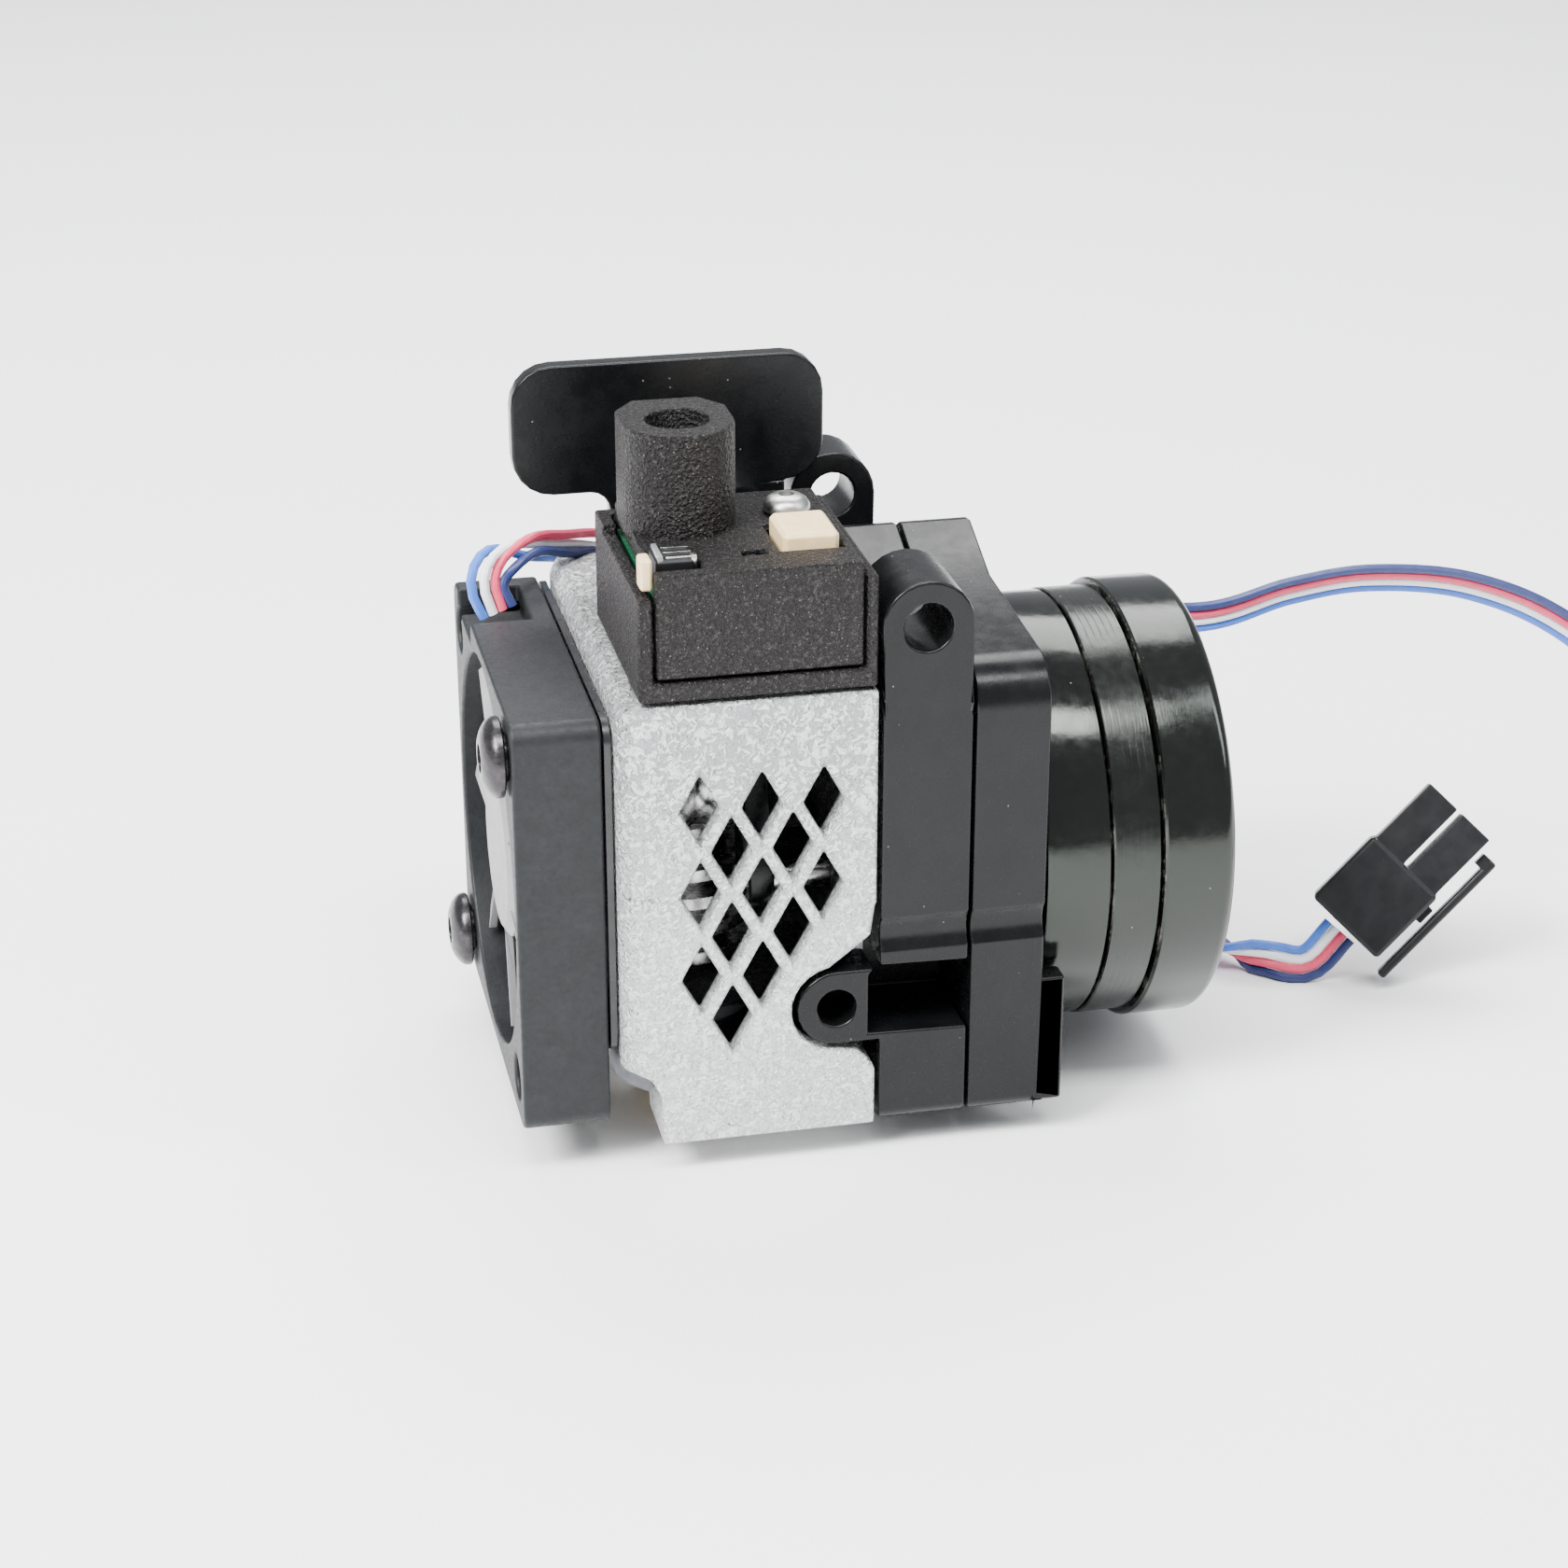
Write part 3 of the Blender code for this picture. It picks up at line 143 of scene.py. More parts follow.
# ---------------------------------------------------------------- materials
class Finish:
    """A material under construction. Patterns read the row frame's coordinates in millimetres."""

    def __init__(self, name, colour, roughness, metallic=0.0, **sockets):
        self.mat = bpy.data.materials.new(name)
        self.mat.use_nodes = True
        self.tree = self.mat.node_tree
        self.shader = self.tree.nodes["Principled BSDF"]
        self.set("Base Color", (*colour, 1.0))
        self.set("Roughness", roughness)
        self.set("Metallic", metallic)
        for socket, value in sockets.items():
            self.set(socket.replace("_", " "), value)
        self.height = None
        self.coords = self.node("ShaderNodeMapping")
        self.coords.inputs["Scale"].default_value = (1 / MM,) * 3
        self.link(self.node("ShaderNodeTexCoord").outputs["Object"], self.coords.inputs["Vector"])

    def set(self, socket, value):
        self.shader.inputs[socket].default_value = value

    def node(self, kind, **values):
        made = self.tree.nodes.new(kind)
        for key, value in values.items():
            setattr(made, key, value)
        return made

    def link(self, source, target):
        self.tree.links.new(source, target)

    def stretched(self, scale):
        """Coordinates scaled apart along X, Y and Z."""
        mapping = self.node("ShaderNodeMapping")
        mapping.inputs["Scale"].default_value = scale
        self.link(self.coords.outputs[0], mapping.inputs["Vector"])
        return mapping.outputs[0]

    def noise(self, size, detail=3.0, rough=0.55, distortion=0.0, vector=None):
        """Noise whose features are about size millimetres across."""
        made = self.node("ShaderNodeTexNoise")
        made.inputs["Scale"].default_value = 1 / size
        made.inputs["Detail"].default_value = detail
        made.inputs["Roughness"].default_value = rough
        made.inputs["Distortion"].default_value = distortion
        self.link(vector or self.coords.outputs[0], made.inputs["Vector"])
        return made.outputs["Fac"]

    def cells(self, size):
        """Distance to the nearest of points about size millimetres apart."""
        made = self.node("ShaderNodeTexVoronoi")
        made.inputs["Scale"].default_value = 1 / size
        self.link(self.coords.outputs[0], made.inputs["Vector"])
        return made.outputs["Distance"]

    def spread(self, value, low, high, to_low=0.0, to_high=1.0):
        """Maps a value from low..high to to_low..to_high, clamped."""
        made = self.node("ShaderNodeMapRange")
        limits_by_socket = {"From Min": low, "From Max": high, "To Min": to_low, "To Max": to_high}
        for socket, number in limits_by_socket.items():
            made.inputs[socket].default_value = number
        self.link(value, made.inputs["Value"])
        return made.outputs[0]

    def maths(self, operation, first, second=None):
        made = self.node("ShaderNodeMath", operation=operation)
        for socket, value in zip(made.inputs, (first, second)):
            if isinstance(value, (int, float)):
                socket.default_value = value
            elif value is not None:
                self.link(value, socket)
        return made.outputs[0]

    def along(self, axis):
        """One coordinate, in millimetres."""
        made = self.node("ShaderNodeSeparateXYZ")
        self.link(self.coords.outputs[0], made.inputs[0])
        return made.outputs[axis]

    def edges(self, width=0.25):
        """1 on sharp edges, 0 on flat faces."""
        rounded = self.node("ShaderNodeBevel", samples=4)
        rounded.inputs["Radius"].default_value = width * MM
        flat = self.node("ShaderNodeNewGeometry")
        dot = self.node("ShaderNodeVectorMath", operation="DOT_PRODUCT")
        self.link(rounded.outputs[0], dot.inputs[0])
        self.link(flat.outputs["Normal"], dot.inputs[1])
        return self.spread(dot.outputs["Value"], 0.98, 0.85)

    def tint(self, share, colour):
        """Mixes another colour into what the base colour holds."""
        mix = self.node("ShaderNodeMix", data_type="RGBA")
        socket = self.shader.inputs["Base Color"]
        if socket.is_linked:
            self.link(socket.links[0].from_socket, mix.inputs[6])
        else:
            mix.inputs[6].default_value = socket.default_value
        mix.inputs[7].default_value = (*colour, 1.0)
        self.link(share, mix.inputs[0])
        self.link(mix.outputs[2], socket)
        return self

    def drive(self, socket, value):
        self.link(value, self.shader.inputs[socket])
        return self

    def bump(self, value, depth):
        """Adds relief of about depth millimetres."""
        made = self.node("ShaderNodeBump")
        made.inputs["Strength"].default_value = 1.0
        made.inputs["Distance"].default_value = depth * MM
        self.link(value, made.inputs["Height"])
        if self.height:
            self.link(self.height, made.inputs["Normal"])
        self.height = made.outputs[0]
        self.link(self.height, self.shader.inputs["Normal"])
        return self


def cast_metal():
    """Sand-cast, shot-blasted light alloy: coarse wormy skin, dark pits, a faint parting line and painted
    shade inside the duct.
    """
    f = Finish("cast_alloy", (0.80, 0.81, 0.80), 0.42, 0.8)
    worms = f.spread(f.noise(0.62, 2.0, 0.5, 1.4), 0.46, 0.56)
    upper = f.spread(f.along("Z"), 16.0, 30.0, 0.45, 1.0)
    grain = f.noise(0.2, 4.0, 0.7)
    broad = f.noise(2.4, 2.0, 0.5)
    f.bump(grain, 0.24)
    f.bump(f.maths("MULTIPLY", worms, upper), 0.55)
    f.bump(broad, 0.22)
    f.tint(f.maths("MULTIPLY", f.spread(worms, 0.7, 0.2, 0.0, 0.72), upper), (0.26, 0.27, 0.28))
    f.tint(f.spread(grain, 0.56, 0.30, 0.0, 0.8), (0.30, 0.31, 0.32))
    foot = f.spread(f.along("Z"), 9.0, 3.0, 0.35, 1.0)
    pits = f.maths("MULTIPLY", f.spread(f.cells(0.5), 0.22, 0.12), f.spread(f.noise(1.3), 0.5, 0.58))
    f.tint(f.maths("MULTIPLY", pits, foot), (0.10, 0.10, 0.10))
    line_height = f.spread(f.noise(3.0), 0.3, 0.7, 20.6, 21.4)
    parting = f.maths("ABSOLUTE", f.maths("SUBTRACT", f.along("Z"), line_height))
    specks = f.maths("MULTIPLY", f.spread(parting, 0.45, 0.1), f.spread(f.noise(0.35, 3.0), 0.5, 0.6))
    f.tint(f.maths("MULTIPLY", specks, f.spread(f.along("X"), -14.0, -16.0)), (0.12, 0.12, 0.12))
    # painted shade: the duct's inner walls are darkened in the base colour to stand in for the shade
    # inside it
    f.tint(painted_duct_shade(f), (0.035, 0.036, 0.038))
    f.drive("Roughness", f.spread(f.noise(0.5), 0.3, 0.7, 0.3, 0.6))
    return f.mat


def painted_duct_shade(f):
    """1 on the walls inside the heatsink's duct, which are painted dark as shade, 0 on its outer faces.
    """
    low, high = limits("heatsink_body")
    shares = [
        f.spread(f.along("X"), low.x + 1.9, low.x + 2.3),
        f.spread(f.along("X"), high.x - 0.9, high.x - 1.4),
        f.spread(f.along("Y"), low.y + 1.1, low.y + 1.5),
        f.spread(f.along("Y"), high.y - 0.9, high.y - 1.3),
        f.spread(f.along("Z"), low.z + 3.0, low.z + 4.0),
        f.spread(f.along("Z"), high.z - 0.9, high.z - 1.4),
    ]
    product = shares[0]
    for share in shares[1:]:
        product = f.maths("MULTIPLY", product, share)
    return product


def printed_nylon():
    """Sintered nylon: coarse sugar-like grain that glints a little brown, with small bright specks
    painted in as glints.
    """
    f = Finish("printed_nylon", (0.0034, 0.0033, 0.0036), 0.55, Specular_IOR_Level=0.3,
               Specular_Tint=(1.0, 0.95, 0.93, 1.0))
    grain = f.noise(0.26, 2.0, 0.6)
    f.bump(grain, 0.8)
    f.bump(f.noise(0.9, 2.0), 0.12)
    f.tint(f.spread(grain, 0.54, 0.68, 0.0, 0.9), (0.036, 0.033, 0.033))
    # painted glints: small bright specks in the base colour stand in for the grain's sparkle
    f.tint(f.spread(f.cells(0.36), 0.15, 0.06), (0.17, 0.16, 0.155))
    f.drive("Roughness", f.spread(f.noise(0.12), 0.35, 0.7, 0.35, 0.7))
    return f.mat


def moulded_plastic(name="moulded_plastic", colour=(0.0022, 0.0024, 0.0027), low=0.2, high=0.34,
                    relief=0.006):
    """Smooth moulded black plastic with faint flow marks, dust specks and softer edges."""
    f = Finish(name, colour, low, Specular_IOR_Level=0.24)
    f.bump(f.noise(0.3, 3.0), relief)
    f.bump(f.noise(5.0, 1.0), 0.04)
    f.tint(f.spread(f.noise(3.0, 4.0), 0.35, 0.75, 0.0, 0.6), tuple(c * 2.2 for c in colour))
    f.tint(f.spread(f.cells(1.5), 0.045, 0.03), (0.12, 0.12, 0.12))
    worn = f.maths("MULTIPLY", f.edges(0.12), f.spread(f.noise(0.6), 0.45, 0.65, 0.0, 0.5))
    f.tint(worn, (0.045, 0.045, 0.045))
    f.drive("Roughness", f.spread(f.noise(1.4, 4.0, 0.65), 0.3, 0.7, low, high))
    return f.mat


def fan_plastic():
    """Glass-filled fan plastic, matt with a fine spark-eroded texture."""
    f = Finish("fan_plastic", (0.0062, 0.0072, 0.0082), 0.5, Specular_IOR_Level=0.3)
    f.bump(f.noise(0.13, 3.0), 0.018)
    f.bump(f.noise(4.0, 1.0), 0.03)
    f.tint(f.spread(f.noise(1.2, 5.0, 0.7), 0.4, 0.75, 0.0, 0.5), (0.017, 0.019, 0.021))
    worn = f.maths("MULTIPLY", f.edges(0.15), f.spread(f.noise(0.5), 0.4, 0.6, 0.1, 0.6))
    f.tint(worn, (0.05, 0.052, 0.055))
    f.drive("Roughness", f.spread(f.noise(0.35, 3.0), 0.3, 0.7, 0.42, 0.6))
    return f.mat


def fan_blade_plastic():
    f = Finish("blade_plastic", (0.20, 0.20, 0.205), 0.45)
    f.bump(f.noise(0.4, 3.0), 0.01)
    f.tint(f.spread(f.noise(2.0, 3.0), 0.35, 0.7, 0.0, 0.5), (0.28, 0.28, 0.285))
    f.drive("Roughness", f.spread(f.noise(0.6), 0.3, 0.7, 0.38, 0.55))
    return f.mat


def blacked_steel(name="blacked_steel", low=0.09, high=0.19, laminated=None, seams=()):
    """Black enamelled steel. Laminated gives the sheet pitch; seams are the X of edges worn bright."""
    f = Finish(name, (0.0018, 0.0021, 0.0019), low, 0.0, Specular_IOR_Level=0.5,
               Specular_Tint=(0.93, 1.0, 0.93, 1.0))
    streaks = f.noise(0.5, 4.0, 0.6, 0.0, f.stretched((6.0, 0.35, 0.35)))
    f.bump(streaks, 0.006)
    f.bump(f.noise(1.2, 3.0), 0.01)
    f.tint(f.spread(f.noise(2.2, 5.0, 0.7), 0.4, 0.8, 0.0, 0.5), (0.005, 0.006, 0.005))
    f.tint(f.spread(f.cells(1.9), 0.035, 0.02), (0.22, 0.22, 0.20))
    f.drive("Roughness", f.spread(f.noise(0.8, 4.0), 0.3, 0.7, low, high))
    if laminated:
        sheets = f.maths("FRACT", f.maths("DIVIDE", f.along("X"), laminated))
        gap = f.maths("ABSOLUTE", f.maths("SUBTRACT", sheets, 0.5))
        patchy = f.spread(f.noise(3.5, 2.0), 0.35, 0.6)
        f.bump(f.maths("MULTIPLY", f.spread(gap, 0.36, 0.5), patchy), -0.012)
        f.tint(f.maths("MULTIPLY", f.spread(gap, 0.4, 0.5, 0.0, 0.5), patchy), (0.001, 0.001, 0.001))
    for seam in seams:
        away = f.maths("ABSOLUTE", f.maths("SUBTRACT", f.along("X"), seam))
        patches = f.spread(f.noise(2.2, 4.0, 0.7), 0.5, 0.62)
        f.tint(f.maths("MULTIPLY", f.spread(away, 0.10, 0.05), patches), (0.045, 0.045, 0.04))
    return f.mat


def bright_metal(name, colour, low=0.16, high=0.36):
    """Turned metal with fine tool marks and dull patches."""
    f = Finish(name, colour, low, 1.0)
    f.bump(f.noise(0.35, 3.0, 0.6, 0.0, f.stretched((5.0, 1.0, 1.0))), 0.008)
    f.tint(f.spread(f.noise(1.1, 4.0), 0.4, 0.75, 0.0, 0.5), tuple(c * 0.55 for c in colour))
    f.drive("Roughness", f.spread(f.noise(0.7, 4.0), 0.3, 0.7, low, high))
    return f.mat


def screw_steel():
    f = Finish("screw_steel", (0.045, 0.042, 0.045), 0.3, 0.85)
    f.bump(f.noise(0.25, 3.0), 0.012)
    f.tint(f.spread(f.noise(0.7, 4.0), 0.45, 0.75, 0.0, 0.6), (0.09, 0.085, 0.09))
    f.drive("Roughness", f.spread(f.noise(0.4, 3.0), 0.3, 0.7, 0.2, 0.38))
    return f.mat


def cream_nylon():
    f = Finish("cream_nylon", (0.78, 0.58, 0.30), 0.42, Subsurface_Weight=0.15, Subsurface_Scale=0.001)
    f.bump(f.noise(0.35, 3.0), 0.012)
    f.tint(f.spread(f.noise(1.0, 3.0), 0.4, 0.7, 0.0, 0.6), (0.84, 0.68, 0.42))
    worn = f.maths("MULTIPLY", f.edges(0.2), f.spread(f.noise(0.4), 0.5, 0.65, 0.0, 0.4))
    f.tint(worn, (0.55, 0.40, 0.24))
    f.drive("Roughness", f.spread(f.noise(0.5), 0.3, 0.7, 0.35, 0.5))
    return f.mat


def waxy_plastic():
    f = Finish("waxy_plastic", (0.82, 0.83, 0.84), 0.38, Subsurface_Weight=0.1, Subsurface_Scale=0.001)
    f.bump(f.noise(0.6, 2.0), 0.01)
    f.tint(f.spread(f.noise(1.5), 0.4, 0.7, 0.0, 0.4), (0.72, 0.74, 0.77))
    f.drive("Roughness", f.spread(f.noise(0.7), 0.3, 0.7, 0.3, 0.48))
    return f.mat


def circuit_board():
    f = Finish("circuit_board", (0.010, 0.075, 0.036), 0.35)
    traces = f.maths("FRACT", f.maths("DIVIDE", f.along("Y"), 0.8))
    f.bump(f.spread(traces, 0.55, 0.65), 0.02)
    f.tint(f.spread(traces, 0.58, 0.62, 0.0, 0.7), (0.018, 0.12, 0.055))
    f.drive("Roughness", f.spread(f.noise(0.8), 0.3, 0.7, 0.28, 0.45))
    return f.mat


def rubber_sheet():
    f = Finish("rubber_sheet", (0.008, 0.008, 0.009), 0.3)
    f.bump(f.noise(0.5, 3.0), 0.012)
    f.tint(f.spread(f.noise(1.5), 0.45, 0.7, 0.0, 0.5), (0.02, 0.02, 0.022))
    f.drive("Roughness", f.spread(f.noise(0.9), 0.3, 0.7, 0.22, 0.42))
    return f.mat


def clear_plastic():
    f = Finish("clear_plastic", (0.75, 0.78, 0.80), 0.12, Transmission_Weight=0.75, IOR=1.5)
    f.bump(f.noise(0.5, 2.0), 0.008)
    f.drive("Roughness", f.spread(f.noise(0.5), 0.3, 0.7, 0.06, 0.2))
    return f.mat


def wire_jacket(name, colour):
    """Soft insulation with faint print dust and a slightly uneven surface."""
    f = Finish(name, colour, 0.42)
    f.bump(f.noise(0.45, 3.0), 0.015)
    paler = tuple(min(1.0, c * 1.35 + 0.02) for c in colour)
    f.tint(f.spread(f.noise(1.3, 3.0), 0.45, 0.75, 0.0, 0.35), paler)
    f.drive("Roughness", f.spread(f.noise(0.6), 0.3, 0.7, 0.36, 0.5))
    return f.mat


CAST = cast_metal()
PRINTED = printed_nylon()
MOULDED = moulded_plastic()
PLUG_PLASTIC = moulded_plastic("plug_plastic", (0.0062, 0.0064, 0.0072), 0.32, 0.5, 0.01)
FAN_PLASTIC = fan_plastic()
BLADE = fan_blade_plastic()
STEEL = bright_metal("turned_steel", (0.56, 0.56, 0.55))
ZINC = bright_metal("zinc_plate", (0.50, 0.50, 0.48), 0.25, 0.45)
BRASS = bright_metal("turned_brass", (0.72, 0.50, 0.20))
TIN = bright_metal("tinned_contact", (0.80, 0.79, 0.76), 0.14, 0.3)
SCREW = screw_steel()
CREAM = cream_nylon()
WAXY = waxy_plastic()
BOARD = circuit_board()
RUBBER = rubber_sheet()
SHIELD = bright_metal("stamped_shield", (0.26, 0.27, 0.29), 0.35, 0.55)
BELL = blacked_steel("motor_enamel",
                     seams=(limits("motor_front_bell")[1].x, limits("motor_rear_bell")[0].x))
STACK = blacked_steel("stack_enamel", 0.16, 0.28, laminated=0.5,
                      seams=(limits("motor_stack")[0].x, limits("motor_stack")[1].x))
CLEAR = clear_plastic()


# ---------------------------------------------------------------- CAD nodes that stay
EDGE_ANGLE = 32
SHADE_ANGLE = 35
WELD_GAP = 0.002


def refine(node, material, width):
    """Gives a CAD node its finish, edges rounded to width and smooth shading. Its place stays."""
    obj = nodes[node]
    mesh = obj.data
    for name in ("custom_normal", "sharp_edge", "sharp_face"):
        attribute = mesh.attributes.get(name)
        if attribute:
            mesh.attributes.remove(attribute)
    mesh.shade_smooth()
    mesh.materials.clear()
    mesh.materials.append(material)
    weld = obj.modifiers.new("weld", "WELD")
    weld.merge_threshold = WELD_GAP * MM
    flat = obj.modifiers.new("flat", "DECIMATE")
    flat.decimate_type = "DISSOLVE"
    flat.angle_limit = math.radians(0.6)
    if width:
        bevel = obj.modifiers.new("bevel", "BEVEL")
        bevel.width = width * MM
        bevel.segments = 2
        bevel.limit_method = "ANGLE"
        bevel.angle_limit = math.radians(EDGE_ANGLE)
        bevel.harden_normals = True
        bevel.use_clamp_overlap = False
        bevel.loop_slide = False
    even = obj.modifiers.new("even", "WEIGHTED_NORMAL")
    even.mode = "FACE_AREA"
    even.weight = 100
    even.keep_sharp = False


NODE_FINISHES = (
    # finish, width of the rounded edges, nodes
    (CAST, 0.22, ("heatsink_body",)),
    (FAN_PLASTIC, 0.25, ("fan_frame",)),
    (BLADE, 0.08, ("fan_rotor",)),
    (RUBBER, 0.05, ("fan_gasket",)),
    (RUBBER, 0.15, ("lead_grommet",)),
    (MOULDED, 0.2, ("gearbox_front", "gearbox_rear", "tension_lever")),
    (PRINTED, 0.2, ("cap",)),
    (PRINTED, 0.16, ("cap_cover",)),
    (BOARD, 0.03, ("breakout_board",)),
    (CREAM, 0.08, ("heater_socket", "fan_plug")),
    (CREAM, 0.06, ("sensor_socket",)),
    (PLUG_PLASTIC, 0.06, ("sensor_plug",)),
    (PLUG_PLASTIC, 0.12, ("motor_plug",)),
    (PLUG_PLASTIC, 0.1, ("plug_latch",)),
    (WAXY, 0.1, ("heater_sleeve",)),
    (WAXY, 0.05, ("guide_tube_upper", "guide_tube_lower")),
    (SHIELD, 0.05, ("heater_shield",)),
    (BRASS, 0.05, ("nozzle",)),
    (BRASS, 0, ("reduction_gear", "pinion_gear")),
    (SCREW, 0.08, ("gearbox_screw_1", "gearbox_screw_2", "gearbox_screw_3", "tension_screw",
                   "motor_bolt_1", "motor_bolt_2", "motor_bolt_3", "motor_bolt_4")),
    (STEEL, 0.05, ("cold_core",)),
    (STEEL, 0.08, ("drive_shaft", "lever_pin", "idler_pin", "motor_shaft")),
    (STEEL, 0.1, ("drive_bearing_front", "drive_bearing_rear", "motor_rotor", "motor_bearing_front",
                  "motor_bearing_rear")),
    (STEEL, 0, ("drive_wheel", "idler_wheel")),
)


def refine_nodes():
    for material, width, names in NODE_FINISHES:
        for node in names:
            refine(node, material, width)


# ---------------------------------------------------------------- leads
PLUG_BACK = Vector((42.2, 2.6, 4.2))
PLUG_AXIS = Vector((0.70, 0.02, 0.70)).normalized()
PLUG_SIDE = Vector((0.62, -0.52, -0.59))
PLUG_SIDE = (PLUG_SIDE - PLUG_AXIS * PLUG_SIDE.dot(PLUG_AXIS)).normalized()
FAN_PLUG_BACK = Vector((84.6, -18.6, 2.0))

MOTOR_LEAD = (
    (23.5, 19.3, 18.6),
    (23.5, 22.4, 18.6),
    (24.6, 25.4, 13.0),
    (26.6, 23.6, 5.6),
    (29.6, 15.6, 2.2),
    (33.4, 6.6, 1.6),
    (36.6, 3.6, 1.5),
    tuple(PLUG_BACK - PLUG_AXIS * 4.0),
    tuple(PLUG_BACK - PLUG_AXIS * 0.5),
)
FAN_LEAD = (
    (-21.6, 9.0, 32.8),
    (-22.2, 9.4, 34.8),
    (-21.4, 10.2, 36.3),
    (-19.4, 11.4, 36.8),
    (-16.8, 13.2, 36.0),
    (-13.4, 15.8, 34.8),
    (-6.0, 18.2, 32.4),
    (3.0, 19.4, 29.2),
    (14.0, 20.4, 26.4),
    (24.0, 20.4, 25.0),
    (34.3, 17.0, 25.0),
    (41.0, 15.4, 27.2),
    (47.5, 14.8, 28.0),
    (56.0, 14.8, 26.6),
    (64.5, 14.6, 22.4),
    (74.0, 13.0, 14.0),
    (82.0, 8.0, 5.2),
    (88.0, -2.0, 2.0),
    (88.6, -11.0, 2.0),
    tuple(FAN_PLUG_BACK + Vector((0.3, 0.4, 0))),
)
WIRE_R = 0.36
WIRE_PITCH = 0.74
WIRE_SIDES = 10
ROUTE_STEP = 0.8
STRAY_SHARE = 0.17
CURVE_STEPS = 16
WIRE_COLOURS = (
    ("wire_blue", (0.035, 0.13, 0.52)),
    ("wire_white", (0.80, 0.81, 0.84)),
    ("wire_red", (0.68, 0.05, 0.12)),
    ("wire_navy", (0.012, 0.022, 0.11)),
)


def smooth_route(points, spacing):
    """Catmull-Rom points through a route, one about every spacing, in millimetres."""
    vectors = [Vector(p) for p in points]
    padded = [vectors[0] * 2 - vectors[1], *vectors, vectors[-1] * 2 - vectors[-2]]
    fine = []
    for a, b, c, d in zip(padded, padded[1:], padded[2:], padded[3:]):
        for step in range(CURVE_STEPS):
            t = step / CURVE_STEPS
            fine.append(0.5 * ((2 * b) + (c - a) * t + (2 * a - 5 * b + 4 * c - d) * t ** 2
                               + (3 * b - a - 3 * c + d) * t ** 3))
    fine.append(vectors[-1])
    length = sum((q - p).length for p, q in zip(fine, fine[1:]))
    count = max(2, round(length / spacing))
    result, travelled, target = [fine[0]], 0.0, length / count
    for p, q in zip(fine, fine[1:]):
        piece = (q - p).length
        while piece and travelled + piece >= target - 1e-9 and len(result) < count:
            result.append(p + (q - p) * ((target - travelled) / piece))
            target += length / count
        travelled += piece
    result.append(fine[-1])
    return result


def wire_ring(bm, core, across, through):
    """A ring of points round one wire's middle."""
    ring = []
    for s in range(WIRE_SIDES):
        angle = 2 * math.pi * s / WIRE_SIDES
        spot = core + across * WIRE_R * math.cos(angle) + through * WIRE_R * math.sin(angle)
        ring.append(bm.verts.new(spot * MM))
    return ring


def skin(bm, rings, index=0):
    """Closes a tube of rings with sides and two end caps."""
    sides = len(rings[0])
    for first, second in zip(rings, rings[1:]):
        for s in range(sides):
            t = (s + 1) % sides
            bm.faces.new((first[s], first[t], second[t], second[s])).material_index = index
    for end in (rings[0], rings[-1]):
        bm.faces.new(end).material_index = index


def ribbon(name, route, widths, stands_for, loops=()):
    """A flat lead of four wires that ends in a plug.

    widths are (place along it, direction across it) pairs. loops are one vector for each wire, by which
    it strays from the others near the lead's start.
    """
    points = smooth_route(route, ROUTE_STEP)
    count = len(points) - 1
    bm = bmesh.new()
    rings = [[] for _ in WIRE_COLOURS]
    for k, centre in enumerate(points):
        along = (points[min(k + 1, count)] - points[max(k - 1, 0)]).normalized()
        across = blended(widths, k / count)
        across = (across - along * across.dot(along)).normalized()
        through = along.cross(across)
        stray = math.sin(math.pi * min(k / count / STRAY_SHARE, 1.0))
        for wire, wire_rings in enumerate(rings):
            core = centre + across * (wire - 1.5) * WIRE_PITCH
            if loops:
                core += Vector(loops[wire]) * stray
            wire_rings.append(wire_ring(bm, core, across, through))
    for wire, wire_rings in enumerate(rings):
        skin(bm, wire_rings, wire)
    obj = add_object(name, bm, [JACKETS[colour] for colour, _ in WIRE_COLOURS], scale=1.0)
    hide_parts(stands_for)


def blended(widths, place):
    """The direction across a ribbon at a place between 0 and 1."""
    for (low, first), (high, second) in zip(widths, widths[1:]):
        if place <= high:
            t = (place - low) / (high - low)
            t = t * t * (3 - 2 * t)
            return Vector(first).lerp(Vector(second), t)
    return Vector(widths[-1][1])


JACKETS = {name: wire_jacket(name, colour) for name, colour in WIRE_COLOURS}


# ---------------------------------------------------------------- modelling tools
def add_object(name, bm, materials, scale=MM):
    """Turns a bmesh into a piece that rides on the housing."""
    bmesh.ops.recalc_face_normals(bm, faces=bm.faces)
    bm.transform(Matrix.Scale(scale, 4))
    mesh = bpy.data.meshes.new(name)
    bm.to_mesh(mesh)
    bm.free()
    for material in materials:
        mesh.materials.append(material)
    mesh.shade_smooth()
    mesh.set_sharp_from_angle(angle=math.radians(SHADE_ANGLE))
    obj = bpy.data.objects.new(name, mesh)
    scene.collection.objects.link(obj)
    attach(obj, HOUSING)
    return obj


def turned(name, axis, centre, profile, material, stands_for, segments=128, ring=False):
    """Turns (radius, along) points about a line along X or Z, in a CAD node's place.

    A ring is closed from its last point to its first, and has no middle.
    """
    bm = bmesh.new()
    rings = []
    for radius, along in profile:
        steps = segments if radius else 1
        row = []
        for k in range(steps):
            angle = 2 * math.pi * k / segments
            u = centre[0] + radius * math.cos(angle)
            v = centre[1] + radius * math.sin(angle)
            row.append(bm.verts.new((along, u, v) if axis == "X" else (u, v, along)))
        rings.append(row)
    pairs = list(zip(rings, rings[1:]))
    if ring:
        pairs.append((rings[-1], rings[0]))
    for first, second in pairs:
        for k in range(segments):
            m = (k + 1) % segments
            corners = [first[k % len(first)], first[m % len(first)]]
            corners += [second[m % len(second)], second[k % len(second)]]
            unique = list(dict.fromkeys(corners))
            if len(unique) > 2:
                bm.faces.new(unique)
    obj = add_object(name, bm, [material])
    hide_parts(stands_for)


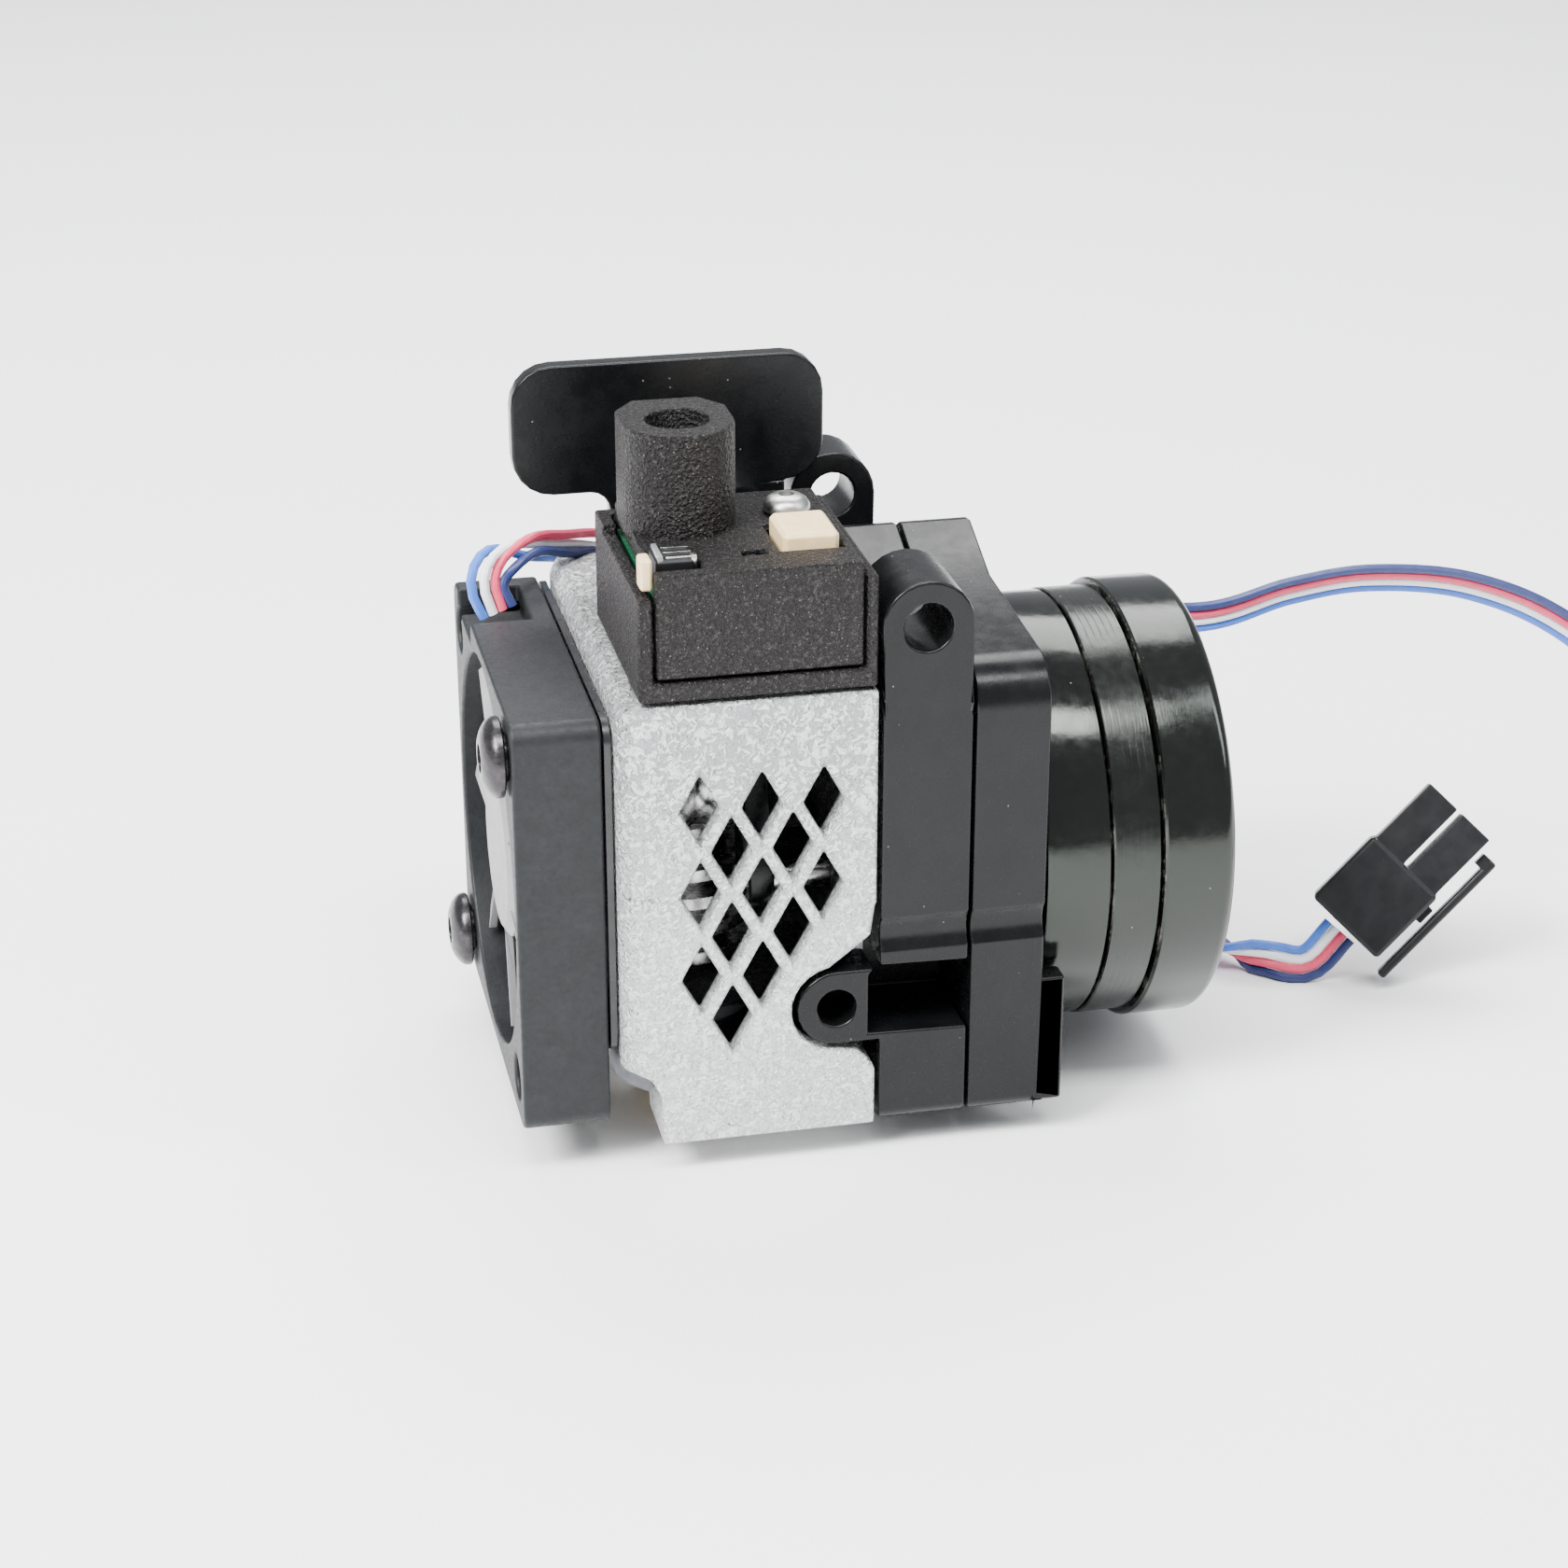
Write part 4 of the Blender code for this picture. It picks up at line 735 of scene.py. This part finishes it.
def motor_shells():
    """The motor's two bells and lamination stack, turned finely."""
    wall, rear_round, rear_plate = 1.3, 0.9, 1.9
    low, high = limits("motor_front_bell")
    centre = ((low.y + high.y) / 2, (low.z + high.z) / 2)
    outer = (high.z - low.z) / 2
    profile = [(4.1, low.x), (outer - 0.6, low.x), (outer - 0.15, low.x + 0.2), (outer, low.x + 0.6),
               (outer, high.x - 0.12), (outer - 0.12, high.x), (outer - wall, high.x),
               (outer - wall, low.x + wall), (4.1, low.x + wall)]
    turned("front_bell", "X", centre, profile, BELL, "motor_front_bell", ring=True)

    low, high = limits("motor_stack")
    outer = (high.z - low.z) / 2
    profile = [(8.8, low.x), (outer - 0.1, low.x), (outer, low.x + 0.1), (outer, high.x - 0.1),
               (outer - 0.1, high.x), (8.8, high.x)]
    turned("stack", "X", centre, profile, STACK, "motor_stack", ring=True)

    low, high = limits("motor_rear_bell")
    outer = (high.z - low.z) / 2
    edge = [(outer + rear_round * (math.sin(a) - 1), high.x + rear_round * (math.cos(a) - 1))
            for a in (math.radians(angle) for angle in range(90, -1, -15))]
    profile = [(outer - wall, low.x), (outer - 0.18, low.x), (outer, low.x + 0.18), *edge, (11.4, high.x),
               (11.2, high.x - 0.3), (4.6, high.x - 0.3), (4.4, high.x), (0, high.x)]
    inner = [(0, high.x - rear_plate), (outer - wall, high.x - rear_plate)]
    turned("rear_bell", "X", centre, profile + inner, BELL, "motor_rear_bell", ring=True)


def fan_screws():
    """Button-head screws with round crowns and a hexagonal socket."""
    for node in ("fan_screw_1", "fan_screw_2"):
        low, high = limits(node)
        centre = ((low.y + high.y) / 2, (low.z + high.z) / 2)
        head = (high.z - low.z) / 2
        seat = low.x + 1.65
        crown = [(head * math.sin(a), seat - 0.3 - 1.35 * math.cos(a))
                 for a in (math.radians(angle) for angle in range(90, 24, -6))]
        top = crown[-1][1]
        profile = [(0, high.x), (1.2, high.x), (1.45, high.x - 0.3), (1.45, seat), (head - 0.15, seat),
                   (head, seat - 0.12), *crown, (1.0, top), (0.95, top + 0.9), (0, top + 0.9)]
        turned(node.replace("screw", "button"), "X", centre, profile, SCREW, node, segments=48)


def cap_screw():
    """The short screw in the roof, with a domed head."""
    low, high = limits("cap_screw")
    centre = ((low.x + high.x) / 2, (low.y + high.y) / 2)
    seat = high.z - 1.3
    shank = [(0, low.z), (0.9, low.z), (0.9, seat)]
    dome = [(1.5, seat), (1.62, seat + 0.15), (1.6, seat + 0.45), (1.4, seat + 0.8), (1.05, seat + 1.05)]
    recess = [(0.55, seat + 1.15), (0.5, seat + 0.8), (0, seat + 0.75)]
    profile = shank + dome + recess
    turned("cap_button", "Z", centre, profile, ZINC, "cap_screw", segments=40)


def lever_spring():
    """The tension spring, wound finely."""
    wire, turns, per_turn, sides = 0.25, 5, 32, 8
    low, high = limits("tension_spring")
    middle_x, middle_z = (low.x + high.x) / 2, (low.z + high.z) / 2
    radius = (high.x - low.x) / 2 - wire
    start, end = low.y + wire, high.y - wire
    bm = bmesh.new()
    rings = []
    for step in range(turns * per_turn + 1):
        angle = 2 * math.pi * step / per_turn
        outward = Vector((math.cos(angle), 0, math.sin(angle)))
        along = start + (end - start) * step / (turns * per_turn)
        core = Vector((middle_x, along, middle_z)) + outward * radius
        ring = []
        for s in range(sides):
            turn = 2 * math.pi * s / sides
            round_wire = outward * math.cos(turn) + Vector((0, math.sin(turn), 0))
            ring.append(bm.verts.new(core + round_wire * wire))
        rings.append(ring)
    skin(bm, rings)
    obj = add_object("lever_spring", bm, [STEEL])
    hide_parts("tension_spring")
    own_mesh(obj)


def small_block(name, x, y, z, material, width=0.05):
    """A small block with rounded edges that rides on the housing."""
    bm = bmesh.new()
    bmesh.ops.create_cube(bm, size=1.0)
    bmesh.ops.scale(bm, vec=(x[1] - x[0], y[1] - y[0], z[1] - z[0]), verts=bm.verts)
    middle = (sum(x) / 2, sum(y) / 2, sum(z) / 2)
    bmesh.ops.translate(bm, vec=middle, verts=bm.verts)
    bmesh.ops.bevel(bm, geom=bm.edges[:], offset=width, segments=2, affect="EDGES", profile=0.5)
    add_object(name, bm, [material])


def connector_details():
    """Clear window and tinned tabs of the sensor's plug, and pins of the heater's socket."""
    low, high = limits("sensor_plug")
    top = high.z
    small_block("plug_window", (low.x + 0.15, low.x + 0.5), (low.y + 0.1, high.y - 0.1),
                (top - 0.5, top + 0.25), CLEAR)
    for index in range(3):
        y = low.y + 0.35 + 0.95 * index
        small_block(f"plug_tab_{index}", (low.x + 0.7, high.x - 0.1), (y, y + 0.14),
                    (top - 0.05, top + 0.10), TIN, 0.03)
    small_block("plug_clip", (high.x - 0.25, high.x + 0.1), (low.y + 0.1, low.y + 0.9),
                (top - 0.8, top + 0.2), TIN, 0.06)
    low, high = limits("heater_socket")
    for index in range(2):
        x = low.x + 1.2 + 1.2 * index
        small_block(f"socket_pin_{index}", (x, x + 0.4), (high.y - 0.9, high.y - 0.5),
                    (high.z - 1.7, high.z - 1.2), TIN, 0.04)


make_camera()
ribbon("motor_ribbon", MOTOR_LEAD, ((0.0, (0, 0, 1)), (0.45, (0.7, 0, 0.7)), (1.0, tuple(PLUG_SIDE))),
       "motor_lead")
ribbon("fan_ribbon", FAN_LEAD,
       ((0.0, (1, 0, 0)), (0.25, (0.2, -0.3, 1)), (0.6, (0, -0.5, 0.8)), (1.0, (0.8, -0.6, 0))),
       "fan_lead",
       loops=((-0.5, 0.0, -0.5), (0.2, -0.5, 0.4), (0.5, 0.5, 0.6), (-0.2, 0.2, -1.0)))
make_studio()
refine_nodes()
motor_shells()
fan_screws()
cap_screw()
lever_spring()
connector_details()
